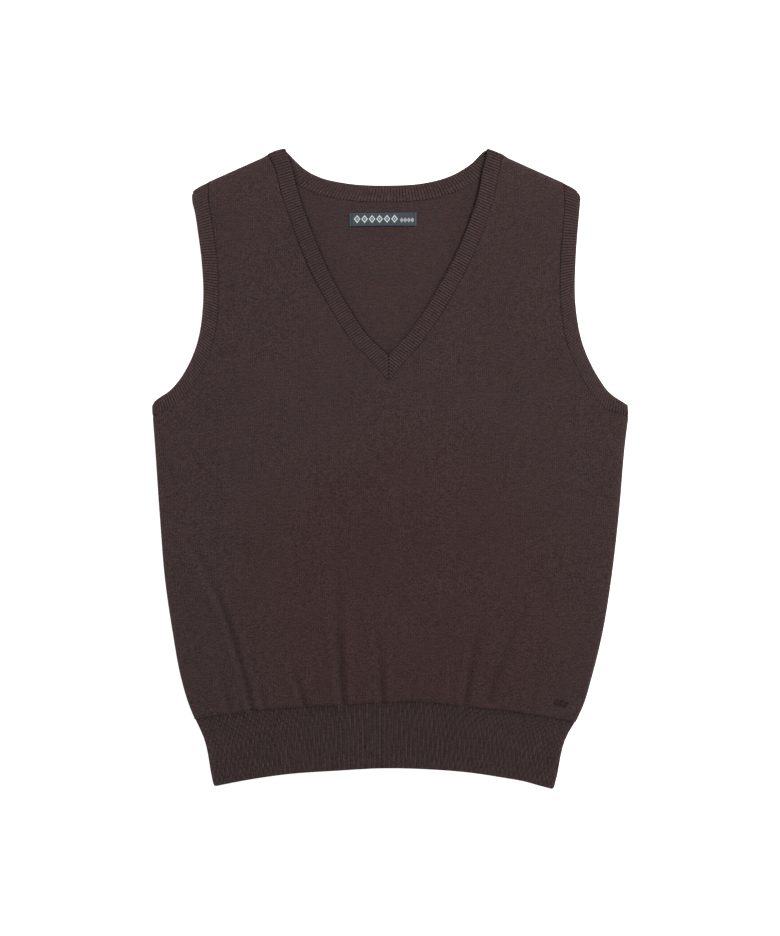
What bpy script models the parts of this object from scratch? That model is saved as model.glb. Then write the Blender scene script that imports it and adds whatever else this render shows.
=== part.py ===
"""A knitted V-neck sweater vest, laid flat on its back: its cloth walls at real size.

Metres, +Z up, +Y towards the neck, +X towards the wearer's left.
The origin is under the middle of the vest's box, on the surface it lies on.
"""

from collections import namedtuple

import bmesh
import bpy
import numpy as np

NAME = "sweater_vest"

# ---- driving dimensions -------------------------------------------------------------------
BODY_WALL = 0.0012
RIB_WALL = 0.0018
LABEL_WALL = 0.0010
SEAM_GAP = 0.0003
NECK_RIB_WIDTH = 0.0155
ARMHOLE_RIB_WIDTH = 0.0145
MITRE_LENGTH = 0.0240
MITRE_SPREAD = 1.4
LABEL_WIDTH = 0.0640
LABEL_HEIGHT = 0.0132
LABEL_CENTRE = (-0.0070, 0.2370)

BACK_BODY_LEVEL = BODY_WALL / 2
BACK_RIB_LEVEL = RIB_WALL / 2
FRONT_LEVEL = RIB_WALL + SEAM_GAP + RIB_WALL / 2
SIDE_SEAM_DROP = FRONT_LEVEL - (BODY_WALL + SEAM_GAP + BODY_WALL / 2)
SIDE_SEAM_REACH = 0.0090

# ---- the outline: a row for each height, read on the vest's left and right as it lies -----
EdgeRow = namedtuple("EdgeRow", "y left right")

SIDE_SEAM = [
    EdgeRow(-0.2386, -0.1848, 0.1757),
    EdgeRow(-0.2237, -0.1914, 0.1829),
    EdgeRow(-0.2009, -0.1981, 0.1901),
    EdgeRow(-0.1553, -0.2066, 0.2012),
    EdgeRow(-0.1097, -0.2133, 0.2087),
    EdgeRow(-0.0413, -0.2190, 0.2167),
    EdgeRow(0.0270, -0.2237, 0.2223),
    EdgeRow(0.0490, -0.2250, 0.2240),
]
WAIST_RIB_SIDE = [
    EdgeRow(-0.3016, -0.1677, 0.1552),
    EdgeRow(-0.2921, -0.1696, 0.1578),
    EdgeRow(-0.2807, -0.1715, 0.1599),
    EdgeRow(-0.2693, -0.1734, 0.1620),
    EdgeRow(-0.2579, -0.1762, 0.1654),
    EdgeRow(-0.2465, -0.1810, 0.1707),
    EdgeRow(-0.2390, -0.1846, 0.1755),
]
ARMHOLE_EDGE = [
    EdgeRow(0.0613, -0.2237, 0.2228),
    EdgeRow(0.0727, -0.2104, 0.2066),
    EdgeRow(0.0841, -0.2009, 0.1981),
    EdgeRow(0.0955, -0.1935, 0.1914),
    EdgeRow(0.1183, -0.1838, 0.1819),
    EdgeRow(0.1525, -0.1781, 0.1755),
    EdgeRow(0.1981, -0.1790, 0.1743),
    EdgeRow(0.2209, -0.1819, 0.1768),
    EdgeRow(0.2437, -0.1859, 0.1789),
    EdgeRow(0.2580, -0.1885, 0.1797),
]
V_NECK_EDGE = [
    EdgeRow(0.1064, -0.0021, -0.0021),
    EdgeRow(0.1268, -0.0233, 0.0166),
    EdgeRow(0.1496, -0.0385, 0.0328),
    EdgeRow(0.1724, -0.0518, 0.0461),
    EdgeRow(0.1952, -0.0632, 0.0584),
    EdgeRow(0.2180, -0.0727, 0.0689),
    EdgeRow(0.2408, -0.0812, 0.0774),
    EdgeRow(0.2636, -0.0888, 0.0841),
    EdgeRow(0.2864, -0.0945, 0.0885),
    EdgeRow(0.3010, -0.1000, 0.0918),
]

# ---- lines that cross the vest: a row for each place along it -----------------------------
# The row at CENTRE_ROW lies on the centre line, where the two halves of a piece meet.
CrossRow = namedtuple("CrossRow", "x y")
CENTRE_ROW = 4

BACK_NECK_EDGE = [
    CrossRow(-0.1000, 0.3010),
    CrossRow(-0.0907, 0.2912),
    CrossRow(-0.0812, 0.2836),
    CrossRow(-0.0651, 0.2760),
    CrossRow(-0.0470, 0.2717),
    CrossRow(-0.0033, 0.2684),
    CrossRow(0.0370, 0.2717),
    CrossRow(0.0518, 0.2760),
    CrossRow(0.0679, 0.2836),
    CrossRow(0.0793, 0.2912),
    CrossRow(0.0918, 0.3010),
]
WAIST_SEAM = [
    CrossRow(-0.1848, -0.2386),
    CrossRow(-0.1392, -0.2311),
    CrossRow(-0.0888, -0.2271),
    CrossRow(-0.0404, -0.2245),
    CrossRow(-0.0047, -0.2222),
    CrossRow(0.0330, -0.2221),
    CrossRow(0.0698, -0.2260),
    CrossRow(0.1097, -0.2301),
    CrossRow(0.1496, -0.2364),
    CrossRow(0.1757, -0.2412),
]
HEM = [
    CrossRow(-0.1677, -0.3008),
    CrossRow(-0.1382, -0.2945),
    CrossRow(-0.0955, -0.2880),
    CrossRow(-0.0527, -0.2850),
    CrossRow(-0.0050, -0.2826),
    CrossRow(0.0375, -0.2837),
    CrossRow(0.0750, -0.2867),
    CrossRow(0.1097, -0.2923),
    CrossRow(0.1549, -0.3026),
]

# ---- corners where the bands fold over the shoulder and under the arm ---------------------
Corners = namedtuple("Corners", "neck_seam armhole_seam underarm_seam")

LEFT_CORNERS = Corners((-0.1165, 0.2965), (-0.1725, 0.2702), (-0.2237, 0.0490))
RIGHT_CORNERS = Corners((0.1068, 0.2960), (0.1640, 0.2702), (0.2228, 0.0490))

# ---- how the front layer lifts off the back one -------------------------------------------
Swell = namedtuple("Swell", "x y reach_x reach_y height")

SWELLS = [
    Swell(-0.004, -0.165, 0.150, 0.058, 0.0016),
    Swell(-0.004, 0.010, 0.150, 0.110, 0.0009),
    Swell(-0.065, 0.190, 0.040, 0.070, 0.0007),
    Swell(0.070, 0.200, 0.040, 0.070, 0.0011),
]

# Each fold starts as nothing at its head, is deepest near its foot and eases off at the waist seam.
Fold = namedtuple("Fold", "head_x head_y middle_x middle_y foot_x foot_y depth width")

FOLDS = [
    Fold(-0.1667, -0.1724, -0.1590, -0.2000, -0.1506, -0.2313, 0.0007, 0.0070),
    Fold(-0.1981, -0.0584, -0.1620, -0.1249, -0.1306, -0.2294, 0.0018, 0.0085),
    Fold(-0.1002, -0.1629, -0.0900, -0.1950, -0.0803, -0.2256, 0.0007, 0.0070),
    Fold(-0.0508, -0.0679, -0.0480, -0.1629, -0.0442, -0.2228, 0.0017, 0.0080),
    Fold(-0.0109, -0.1487, -0.0090, -0.1867, -0.0071, -0.2218, 0.0011, 0.0070),
    Fold(0.0898, -0.1344, 0.0793, -0.1772, 0.0717, -0.2237, 0.0014, 0.0080),
    Fold(0.1420, -0.1012, 0.1183, -0.1534, 0.0945, -0.2199, 0.0009, 0.0085),
    Fold(0.1468, -0.1724, 0.1400, -0.2000, 0.1325, -0.2275, 0.0007, 0.0070),
]
FOLD_SHOULDER = 0.45
SHOULDER_PLACE = 1.9
FOLD_GROWTH = 0.7
FOOT_EASE = 0.45
FOOT_EASE_POWER = 6
FOLD_STEPS = 24

# ---- fineness of the faceted walls --------------------------------------------------------
# Panels and bands have the same points along a seam, so that their facets keep the seam's gap.
FRONT_COLUMNS = 18
BACK_COLUMNS = 10
BACK_NECK_COLUMNS = 7
FRONT_ROWS_BELOW_ARMS = 20
BACK_ROWS_BELOW_ARMS = 10
WAIST_RIB_ROWS = 6
SEAM_STATIONS = 19
NECK_BACK_STATIONS = 2 * BACK_NECK_COLUMNS + 1
TURN_STATIONS = 4
BAND_COLUMNS = 2
LABEL_COLUMNS = 4
LABEL_ROWS = 2
EDGE_SAMPLES = 120
CURVE_OVERSAMPLING = 6
SEAM_THINNING = 8
CORNER_SHARE = 0.9


def smooth_curve(points, count):
    """Count points, evenly spaced, along a smooth curve that passes through each of the given ones."""
    points = np.asarray(points, float)
    steps = np.linalg.norm(np.diff(points, axis=0), axis=1)
    knots = np.concatenate([[0.0], np.cumsum(steps)])
    slopes = np.gradient(points, knots, axis=0)
    places = np.linspace(0.0, knots[-1], CURVE_OVERSAMPLING * count)
    cell = np.clip(np.searchsorted(knots, places, side="right") - 1, 0, len(steps) - 1)
    span = steps[cell]
    t = ((places - knots[cell]) / span)[:, None]
    start, end = points[cell], points[cell + 1]
    lead, trail = slopes[cell] * span[:, None], slopes[cell + 1] * span[:, None]
    curve = (
        start * (2 * t**3 - 3 * t**2 + 1)
        + end * (3 * t**2 - 2 * t**3)
        + lead * (t**3 - 2 * t**2 + t)
        + trail * (t**3 - t**2)
    )
    return resampled(curve, count)


def resampled(points, count):
    """The same line with count points, evenly spaced along it."""
    points = np.asarray(points, float)
    steps = np.linalg.norm(np.diff(points, axis=0), axis=1)
    along = np.concatenate([[0.0], np.cumsum(steps)])
    places = np.linspace(0.0, along[-1], count)
    return np.column_stack([np.interp(places, along, points[:, axis]) for axis in range(2)])


def edge_of(rows, side):
    return [(getattr(row, side), row.y) for row in rows]


def moved_sideways(line, distance):
    """The line moved to its own left by distance, square to its direction."""
    direction = np.gradient(line, axis=0)
    direction /= np.linalg.norm(direction, axis=1)[:, None]
    return line + distance * np.column_stack([-direction[:, 1], direction[:, 0]])


def band_seam(edge, distance, first, last):
    """The seam that runs beside an edge, from the corner first to the corner last.

    Near the corners, and at most of the points between, the line is left free to bend smoothly.
    """
    beside = moved_sideways(edge, distance)
    along = np.linspace(0.0, 1.0, len(edge))
    length = np.linalg.norm(np.diff(edge, axis=0), axis=1).sum()
    lean = CORNER_SHARE * abs(distance) / length
    kept = beside[(along > lean) & (along < 1.0 - lean)]
    return smooth_curve(np.vstack([[first], kept[::SEAM_THINNING], [last]]), len(edge))


def mirrored_sign(side):
    return -1.0 if side == "left" else 1.0


def corners_of(side):
    return LEFT_CORNERS if side == "left" else RIGHT_CORNERS


def v_neck_line(side):
    return smooth_curve(edge_of(V_NECK_EDGE, side), EDGE_SAMPLES)


def v_neck_seam(side, gap=0.0):
    """From the foot of the mitre up to the shoulder. gap moves it into the body."""
    sign = mirrored_sign(side)
    point = V_NECK_EDGE[0]
    foot = (point.left, point.y - MITRE_LENGTH - MITRE_SPREAD * gap)
    top_x, top_y = corners_of(side).neck_seam
    return band_seam(v_neck_line(side), -sign * (NECK_RIB_WIDTH + gap), foot, (top_x + sign * gap, top_y))


def back_neck_line():
    return smooth_curve(BACK_NECK_EDGE, EDGE_SAMPLES)


def back_neck_seam(gap=0.0):
    """From the left shoulder to the right one, under the back neck edge."""
    left_x, left_y = LEFT_CORNERS.neck_seam
    right_x, right_y = RIGHT_CORNERS.neck_seam
    return band_seam(
        back_neck_line(), -(NECK_RIB_WIDTH + gap), (left_x - gap, left_y), (right_x + gap, right_y)
    )


def armhole_line(side):
    return smooth_curve(edge_of(ARMHOLE_EDGE, side), EDGE_SAMPLES)


def armhole_seam(side, gap=0.0):
    """From the underarm up to the shoulder. gap moves it into the body."""
    sign = mirrored_sign(side)
    corners = corners_of(side)
    under_x, under_y = corners.underarm_seam
    top_x, top_y = corners.armhole_seam
    return band_seam(
        armhole_line(side),
        sign * (ARMHOLE_RIB_WIDTH + gap),
        (under_x, under_y - gap),
        (top_x - sign * gap, top_y),
    )


def fold_paths():
    """(fold, points along it) for each fold, from head to foot, on a curve through its middle."""
    t = np.linspace(0.0, 1.0, FOLD_STEPS)[:, None]
    for fold in FOLDS:
        head = np.array([fold.head_x, fold.head_y])
        middle = np.array([fold.middle_x, fold.middle_y])
        foot = np.array([fold.foot_x, fold.foot_y])
        bend = 2 * middle - (head + foot) / 2
        yield fold, head * (1 - t) ** 2 + bend * 2 * t * (1 - t) + foot * t**2


PATHS = list(fold_paths())


def swell_level(x, y):
    """Height of the middle of the front layer over the surface that the vest lies on, without folds."""
    level = FRONT_LEVEL
    for swell in SWELLS:
        away = ((x - swell.x) / swell.reach_x) ** 2 + ((y - swell.y) / swell.reach_y) ** 2
        level += swell.height * np.exp(-away)
    return level


def front_level(x, y):
    """As swell_level, with the folds as troughs between soft shoulders."""
    level = swell_level(x, y)
    for fold, path in PATHS:
        away = np.hypot(path[:, 0] - x, path[:, 1] - y)
        nearest = int(np.argmin(away))
        along = nearest / (FOLD_STEPS - 1)
        strength = fold.depth * along**FOLD_GROWTH * (1 - FOOT_EASE * along**FOOT_EASE_POWER)
        across = away[nearest] / fold.width
        trough = np.exp(-(across**2))
        shoulder = FOLD_SHOULDER * np.exp(-((across - SHOULDER_PLACE) ** 2))
        level += strength * (shoulder - trough)
    return level


def patch(bottom, top, inner, outer):
    """A grid [row][column] filled in between four lines that meet at their ends (a Coons patch)."""
    u = np.linspace(0.0, 1.0, len(bottom))[None, :, None]
    v = np.linspace(0.0, 1.0, len(inner))[:, None, None]
    bottom, top, inner, outer = (np.asarray(line) for line in (bottom, top, inner, outer))
    across = (1 - v) * bottom[None] + v * top[None]
    along = (1 - u) * inner[:, None] + u * outer[:, None]
    corners = (
        (1 - u) * (1 - v) * bottom[0]
        + u * (1 - v) * bottom[-1]
        + (1 - u) * v * top[0]
        + u * v * top[-1]
    )
    return across + along - corners


def half_of_waist_seam(side, count, gap=0.0):
    """The waist seam from the centre line out to one side."""
    seam = smooth_curve(WAIST_SEAM, 2 * EDGE_SAMPLES)
    seam[:, 1] += gap
    centre_x = WAIST_SEAM[CENTRE_ROW].x
    half = seam[seam[:, 0] <= centre_x][::-1] if side == "left" else seam[seam[:, 0] >= centre_x]
    centre = [centre_x, np.interp(centre_x, seam[:, 0], seam[:, 1])]
    return resampled(np.vstack([centre, half]), count)


def outer_line(side, rows_below_arms):
    """A body panel's outer edge: up the side seam, then up the armhole seam to the shoulder."""
    arm = resampled(armhole_seam(side, SEAM_GAP), SEAM_STATIONS)
    flank = smooth_curve(edge_of(SIDE_SEAM, side)[:-1] + [tuple(arm[0])], rows_below_arms + 1)
    return np.vstack([flank[:-1], arm])


def front_half(side):
    """The front from the centre line to one side, in rows that climb from the waist to the shoulder."""
    bottom = half_of_waist_seam(side, FRONT_COLUMNS + 1, SEAM_GAP / 2)
    outer = outer_line(side, FRONT_ROWS_BELOW_ARMS)
    outer[0] = bottom[-1]
    neck = resampled(v_neck_seam(side, SEAM_GAP), SEAM_STATIONS)
    centre = np.linspace(bottom[0], neck[0], FRONT_ROWS_BELOW_ARMS + 1)
    inner = np.vstack([centre[:-1], neck])
    shoulder = np.linspace(inner[-1], outer[-1], FRONT_COLUMNS + 1)
    return patch(bottom, shoulder, inner, outer)


def back_half(side):
    """The back from the centre line to one side; its top row is the neck seam and then the shoulder."""
    bottom = half_of_waist_seam(side, BACK_COLUMNS + 1, SEAM_GAP / 2)
    outer = outer_line(side, BACK_ROWS_BELOW_ARMS)
    outer[0] = bottom[-1]
    seam = resampled(back_neck_seam(SEAM_GAP), NECK_BACK_STATIONS)
    neck = seam[BACK_NECK_COLUMNS::-1] if side == "left" else seam[BACK_NECK_COLUMNS:]
    shoulder = np.linspace(neck[-1], outer[-1], BACK_COLUMNS - BACK_NECK_COLUMNS + 1)
    top = np.vstack([neck, shoulder[1:]])
    inner = np.linspace(bottom[0], top[0], len(outer))
    return patch(bottom, top, inner, outer)


def waist_rib_half(side, columns):
    """The waist rib from the centre line to one side, from its hem up to its seam."""
    top = half_of_waist_seam(side, columns + 1, -SEAM_GAP / 2)
    hem = smooth_curve(HEM, 2 * EDGE_SAMPLES)
    centre_x = HEM[CENTRE_ROW].x
    half = hem[hem[:, 0] <= centre_x][::-1] if side == "left" else hem[hem[:, 0] >= centre_x]
    centre = [centre_x, np.interp(centre_x, hem[:, 0], hem[:, 1])]
    hem = resampled(np.vstack([centre, half]), columns + 1)
    edge = [tuple(hem[-1])] + edge_of(WAIST_RIB_SIDE, side)[1:-1] + [tuple(top[-1])]
    return patch(
        hem, top, np.linspace(hem[0], top[0], WAIST_RIB_ROWS + 1), smooth_curve(edge, WAIST_RIB_ROWS + 1)
    )


def add_grid(bm, grid, closed=False):
    """Adds a grid of points [row][column] as quads. closed joins the last row to the first."""
    verts = [[bm.verts.new(point) for point in row] for row in grid]
    rows = zip(verts, verts[1:] + verts[:1]) if closed else zip(verts, verts[1:])
    for low, high in rows:
        for column in range(len(low) - 1):
            bm.faces.new((low[column], low[column + 1], high[column + 1], high[column]))


def wall_object(name, grids, thickness, material, closed=False):
    """A cloth wall: an open surface made of grids that share edges, thickened about its middle."""
    bm = bmesh.new()
    for grid in grids:
        add_grid(bm, grid, closed)
    bmesh.ops.remove_doubles(bm, verts=bm.verts, dist=SEAM_GAP / 10)
    bmesh.ops.recalc_face_normals(bm, faces=bm.faces)
    mesh = bpy.data.meshes.new(name)
    bm.to_mesh(mesh)
    bm.free()
    mesh.shade_smooth()
    mesh.materials.append(material)
    obj = bpy.data.objects.new(name, mesh)
    bpy.data.collections[NAME].objects.link(obj)
    wall = obj.modifiers.new("wall", "SOLIDIFY")
    wall.thickness = thickness
    wall.offset = 0.0
    return obj


def knit_material(name, colour, roughness):
    material = bpy.data.materials.new(name)
    material.use_nodes = True
    shader = material.node_tree.nodes["Principled BSDF"]
    shader.inputs["Base Color"].default_value = (*colour, 1.0)
    shader.inputs["Roughness"].default_value = roughness
    shader.inputs["Metallic"].default_value = 0.0
    return material


def flat_grid(grid, level):
    """The grid's points at one height."""
    return [[(x, y, level) for x, y in row] for row in grid]


def front_rib_grid(grid):
    """The grid's points at the height of the front layer, where no fold reaches."""
    return [[(x, y, swell_level(x, y)) for x, y in row] for row in grid]


def front_body_grid(grid):
    """The front's points, with its folds. The cloth comes down to the back at the side seams."""
    points = [[(x, y, front_level(x, y)) for x, y in row] for row in grid]
    for row, (places, line) in enumerate(zip(points, grid)):
        if row > FRONT_ROWS_BELOW_ARMS:
            break
        away = np.linalg.norm(line - line[-1], axis=1)
        for column, (x, y, z) in enumerate(places):
            places[column] = (x, y, z - SIDE_SEAM_DROP * np.exp(-((away[column] / SIDE_SEAM_REACH) ** 2)))
    return points


def band_stations(edge, seam, count, level):
    """Sections across a band, from its edge to its seam. level is a height, or a function of x and y."""
    stations = []
    for outer, inner in zip(resampled(edge, count), resampled(seam, count)):
        places = np.linspace(outer, inner, BAND_COLUMNS + 1)
        heights = [level(x, y) if callable(level) else level for x, y in places]
        stations.append(np.column_stack([places, heights]))
    return stations


def turn_stations(first, last, outward):
    """Sections round the half circle in which a band folds over, from one level to the other."""
    middle = (first + last) / 2
    radius = (first[:, 2] - last[:, 2]) / 2
    stations = []
    for step in range(1, TURN_STATIONS):
        angle = np.pi * step / TURN_STATIONS
        section = middle.copy()
        section[:, 2] += radius * np.cos(angle)
        section[:, :2] += np.abs(radius)[:, None] * np.sin(angle) * np.asarray(outward)
        stations.append(section)
    return stations


def square_to(start, end, away_from):
    """Unit direction square to the line from start to end, pointing away from a place."""
    along = np.asarray(end) - np.asarray(start)
    normal = np.array([-along[1], along[0]]) / np.linalg.norm(along)
    return normal if np.dot(normal, np.asarray(start) - np.asarray(away_from)) > 0 else -normal


def neck_rib_ring():
    """The neck rib as one ring of sections: up the left of the V, round the back neck, down the right."""
    fronts = {
        side: band_stations(v_neck_line(side), v_neck_seam(side), SEAM_STATIONS, swell_level)
        for side in ("left", "right")
    }
    back = band_stations(back_neck_line(), back_neck_seam(), NECK_BACK_STATIONS, BACK_RIB_LEVEL)
    chest = (0.0, 0.0)
    left_out = square_to(fronts["left"][-1][0, :2], fronts["left"][-1][-1, :2], chest)
    right_out = square_to(fronts["right"][-1][0, :2], fronts["right"][-1][-1, :2], chest)
    return (
        fronts["left"]
        + turn_stations(fronts["left"][-1], back[0], left_out)
        + back
        + turn_stations(back[-1], fronts["right"][-1], right_out)
        + fronts["right"][:0:-1]
    )


def armhole_rib_ring(side):
    """An armhole rib as one ring of sections: up the front half, over the shoulder, down the back half."""
    edge, seam = armhole_line(side), armhole_seam(side)
    front = band_stations(edge, seam, SEAM_STATIONS, swell_level)
    back = band_stations(edge, seam, SEAM_STATIONS, BACK_RIB_LEVEL)
    chest = (0.0, 0.0)
    over = square_to(front[-1][0, :2], front[-1][-1, :2], chest)
    under = (mirrored_sign(side), 0.0)
    return (
        front
        + turn_stations(front[-1], back[-1], over)
        + back[::-1]
        + turn_stations(back[0], front[0], under)
    )


def add_label(material):
    """The woven label, a flat strip that lies on the inside of the back, 0.3 mm over it."""
    level = BODY_WALL + SEAM_GAP + LABEL_WALL / 2
    columns = np.linspace(-LABEL_WIDTH / 2, LABEL_WIDTH / 2, LABEL_COLUMNS + 1) + LABEL_CENTRE[0]
    rows = np.linspace(-LABEL_HEIGHT / 2, LABEL_HEIGHT / 2, LABEL_ROWS + 1) + LABEL_CENTRE[1]
    grid = [[(x, y, level) for x in columns] for y in rows]
    return wall_object("neck_label", [grid], LABEL_WALL, material)


def main():
    for obj in list(bpy.data.objects):
        bpy.data.objects.remove(obj)
    bpy.context.scene.collection.children.link(bpy.data.collections.new(NAME))

    body_knit = knit_material("body_knit", (0.051, 0.031, 0.030), 0.90)
    rib_knit = knit_material("rib_knit", (0.048, 0.029, 0.028), 0.92)
    label_weave = knit_material("label_weave", (0.016, 0.023, 0.027), 0.60)

    sides = ("left", "right")
    wall_object("front_panel", [front_body_grid(front_half(s)) for s in sides], BODY_WALL, body_knit)
    wall_object(
        "back_panel", [flat_grid(back_half(s), BACK_BODY_LEVEL) for s in sides], BODY_WALL, body_knit
    )
    front_rib = [front_rib_grid(waist_rib_half(s, FRONT_COLUMNS)) for s in sides]
    back_rib = [flat_grid(waist_rib_half(s, BACK_COLUMNS), BACK_RIB_LEVEL) for s in sides]
    wall_object("waist_rib_front", front_rib, RIB_WALL, rib_knit)
    wall_object("waist_rib_back", back_rib, RIB_WALL, rib_knit)
    wall_object("neck_rib", [neck_rib_ring()], RIB_WALL, rib_knit, closed=True)
    for side in sides:
        wall_object(f"armhole_rib_{side}", [armhole_rib_ring(side)], RIB_WALL, rib_knit, closed=True)
    add_label(label_weave)


main()
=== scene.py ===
# %% [markdown]
# # A knitted sweater vest, laid flat
# The vest is a dark brown V-neck in a fine plain knit, with ribbed bands round the neck, the armholes
# and the waist. It lies on its back on a white surface, and we look straight down at it.
# Cloth like this is too thin to sculpt as a lump. Each piece is a thin sheet instead: we start from a
# flat grid, lay every point of it where the real cloth lies, and only then give it a thickness.

# %% The frame that everything is built round
from collections import namedtuple
import bpy
import numpy as np
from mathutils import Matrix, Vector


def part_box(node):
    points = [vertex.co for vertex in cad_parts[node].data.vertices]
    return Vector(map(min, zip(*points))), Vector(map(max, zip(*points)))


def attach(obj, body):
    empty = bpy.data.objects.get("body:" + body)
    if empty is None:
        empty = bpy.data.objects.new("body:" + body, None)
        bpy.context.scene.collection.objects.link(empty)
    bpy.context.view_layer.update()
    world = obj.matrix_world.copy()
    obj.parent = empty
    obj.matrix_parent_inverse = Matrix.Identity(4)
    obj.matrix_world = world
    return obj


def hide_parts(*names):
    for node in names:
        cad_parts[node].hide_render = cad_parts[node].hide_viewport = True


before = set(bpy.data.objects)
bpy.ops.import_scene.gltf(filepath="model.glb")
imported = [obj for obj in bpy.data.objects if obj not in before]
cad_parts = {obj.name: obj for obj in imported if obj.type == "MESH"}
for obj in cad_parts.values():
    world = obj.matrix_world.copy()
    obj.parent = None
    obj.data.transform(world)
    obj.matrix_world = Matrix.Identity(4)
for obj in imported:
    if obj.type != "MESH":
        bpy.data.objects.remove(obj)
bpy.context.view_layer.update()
print("nodes:", ", ".join(sorted(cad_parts)))

# %% [markdown]
# ## Sizes
# Everything is in metres. A knitter thinks in wales, the columns of stitches, and in courses, the rows
# of stitches, so the yarn sizes are given that way. The bands are about a finger wide.

# %% Sizes of the knit and of the pieces
WALE = 0.00179
COURSE = 0.0012
JERSEY_WALL = 0.0012
RIB_WALL = 0.0012
NECK_BAND = 0.0155
ARM_BAND = 0.0145
NECK_PITCH = 0.00265
ARM_PITCH = 0.00248
WAIST_RIBS = 146
RIB_DEPTH = 0.00074
POINTS_PER_RIB = 8

back_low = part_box("back_panel")[0]
JERSEY_LEVEL = back_low.z + JERSEY_WALL / 2
BACK_RIB_LEVEL = 0.00100
FRONT_LEVEL = 0.0031
SEAM_LEVEL = 0.0018
print("the back layer's middle is", JERSEY_LEVEL, "m over the surface, the front layer's", FRONT_LEVEL)

# %% [markdown]
# ## The outline
# The vest was cut evenly, but cloth never lies evenly, so its left and right edges have their own
# columns. Each row gives a height and how far out the edge is there. A smooth curve runs through the
# rows, so a few of them are enough.

# %% Tables of the sides and the armholes
EdgeRow = namedtuple("EdgeRow", "y left right")
CrossRow = namedtuple("CrossRow", "x y")

SIDE_SEAM = [
    EdgeRow(-0.2386, -0.1854, 0.1767),
    EdgeRow(-0.2237, -0.1914, 0.1833),
    EdgeRow(-0.2009, -0.1981, 0.1901),
    EdgeRow(-0.1553, -0.2066, 0.2012),
    EdgeRow(-0.1097, -0.2133, 0.2087),
    EdgeRow(-0.0413, -0.2190, 0.2167),
    EdgeRow(0.0270, -0.2237, 0.2228),
    EdgeRow(0.0490, -0.2254, 0.2256),
]
WAIST_RIB_SIDE = [
    EdgeRow(-0.3016, -0.1677, 0.1552),
    EdgeRow(-0.2921, -0.1696, 0.1578),
    EdgeRow(-0.2807, -0.1715, 0.1599),
    EdgeRow(-0.2693, -0.1734, 0.1620),
    EdgeRow(-0.2579, -0.1762, 0.1654),
    EdgeRow(-0.2465, -0.1810, 0.1713),
    EdgeRow(-0.2425, -0.1830, 0.1740),
    EdgeRow(-0.2390, -0.1852, 0.1763),
]
ARMHOLE_EDGE = [
    EdgeRow(0.0603, -0.2252, 0.2240),
    EdgeRow(0.0622, -0.2245, 0.2212),
    EdgeRow(0.0648, -0.2220, 0.2170),
    EdgeRow(0.0672, -0.2186, 0.2131),
    EdgeRow(0.0727, -0.2104, 0.2066),
    EdgeRow(0.0841, -0.2000, 0.1983),
    EdgeRow(0.0955, -0.1929, 0.1917),
    EdgeRow(0.1183, -0.1835, 0.1821),
    EdgeRow(0.1525, -0.1781, 0.1758),
    EdgeRow(0.1981, -0.1794, 0.1757),
    EdgeRow(0.2209, -0.1823, 0.1772),
    EdgeRow(0.2437, -0.1859, 0.1792),
    EdgeRow(0.2520, -0.1879, 0.1799),
    EdgeRow(0.2565, -0.1883, 0.1801),
    EdgeRow(0.2592, -0.1881, 0.1792),
    EdgeRow(0.2612, -0.1871, 0.1770),
]
print("the chest is", round(SIDE_SEAM[-1].right - SIDE_SEAM[-1].left, 4), "m across")

# %% [markdown]
# The V is read from its point up to the shoulder. The back neck crosses from left to right instead, so
# its rows give a place across and a height.

# %% Tables of the neck
V_NECK_EDGE = [
    EdgeRow(0.1064, -0.0021, -0.0021),
    EdgeRow(0.1268, -0.0233, 0.0166),
    EdgeRow(0.1496, -0.0385, 0.0328),
    EdgeRow(0.1724, -0.0518, 0.0461),
    EdgeRow(0.1952, -0.0632, 0.0584),
    EdgeRow(0.2180, -0.0727, 0.0689),
    EdgeRow(0.2408, -0.0812, 0.0774),
    EdgeRow(0.2636, -0.0888, 0.0841),
    EdgeRow(0.2864, -0.0945, 0.0884),
    EdgeRow(0.2940, -0.0972, 0.0907),
    EdgeRow(0.3017, -0.0993, 0.0913),
]
BACK_NECK_EDGE = [
    CrossRow(-0.0993, 0.3012),
    CrossRow(-0.0901, 0.2915),
    CrossRow(-0.0812, 0.2836),
    CrossRow(-0.0651, 0.2754),
    CrossRow(-0.0470, 0.2712),
    CrossRow(-0.0033, 0.2683),
    CrossRow(0.0370, 0.2715),
    CrossRow(0.0518, 0.2754),
    CrossRow(0.0679, 0.2830),
    CrossRow(0.0793, 0.2914),
    CrossRow(0.0850, 0.2974),
    CrossRow(0.0888, 0.3008),
    CrossRow(0.0913, 0.3020),
]
print("the V is", round(V_NECK_EDGE[-1].y - V_NECK_EDGE[0].y, 4), "m deep")

# %% [markdown]
# The waist seam and the hem cross the vest too. The corners are the points where three pieces meet, and
# every line that ends there ends at exactly the same place.

# %% Tables of the waist, and the corners
WAIST_SEAM = [
    CrossRow(-0.1854, -0.2386),
    CrossRow(-0.1392, -0.2311),
    CrossRow(-0.0888, -0.2271),
    CrossRow(-0.0404, -0.2245),
    CrossRow(-0.0047, -0.2222),
    CrossRow(0.0330, -0.2221),
    CrossRow(0.0698, -0.2260),
    CrossRow(0.1097, -0.2301),
    CrossRow(0.1496, -0.2364),
    CrossRow(0.1752, -0.2412),
]
HEM = [
    CrossRow(-0.1677, -0.2998),
    CrossRow(-0.1382, -0.2941),
    CrossRow(-0.0955, -0.2880),
    CrossRow(-0.0527, -0.2850),
    CrossRow(-0.0050, -0.2826),
    CrossRow(0.0375, -0.2837),
    CrossRow(0.0750, -0.2867),
    CrossRow(0.1097, -0.2919),
    CrossRow(0.1250, -0.2946),
    CrossRow(0.1425, -0.2994),
    CrossRow(0.1549, -0.3026),
]
Corners = namedtuple("Corners", "neck_seam armhole_seam underarm_seam")
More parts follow.
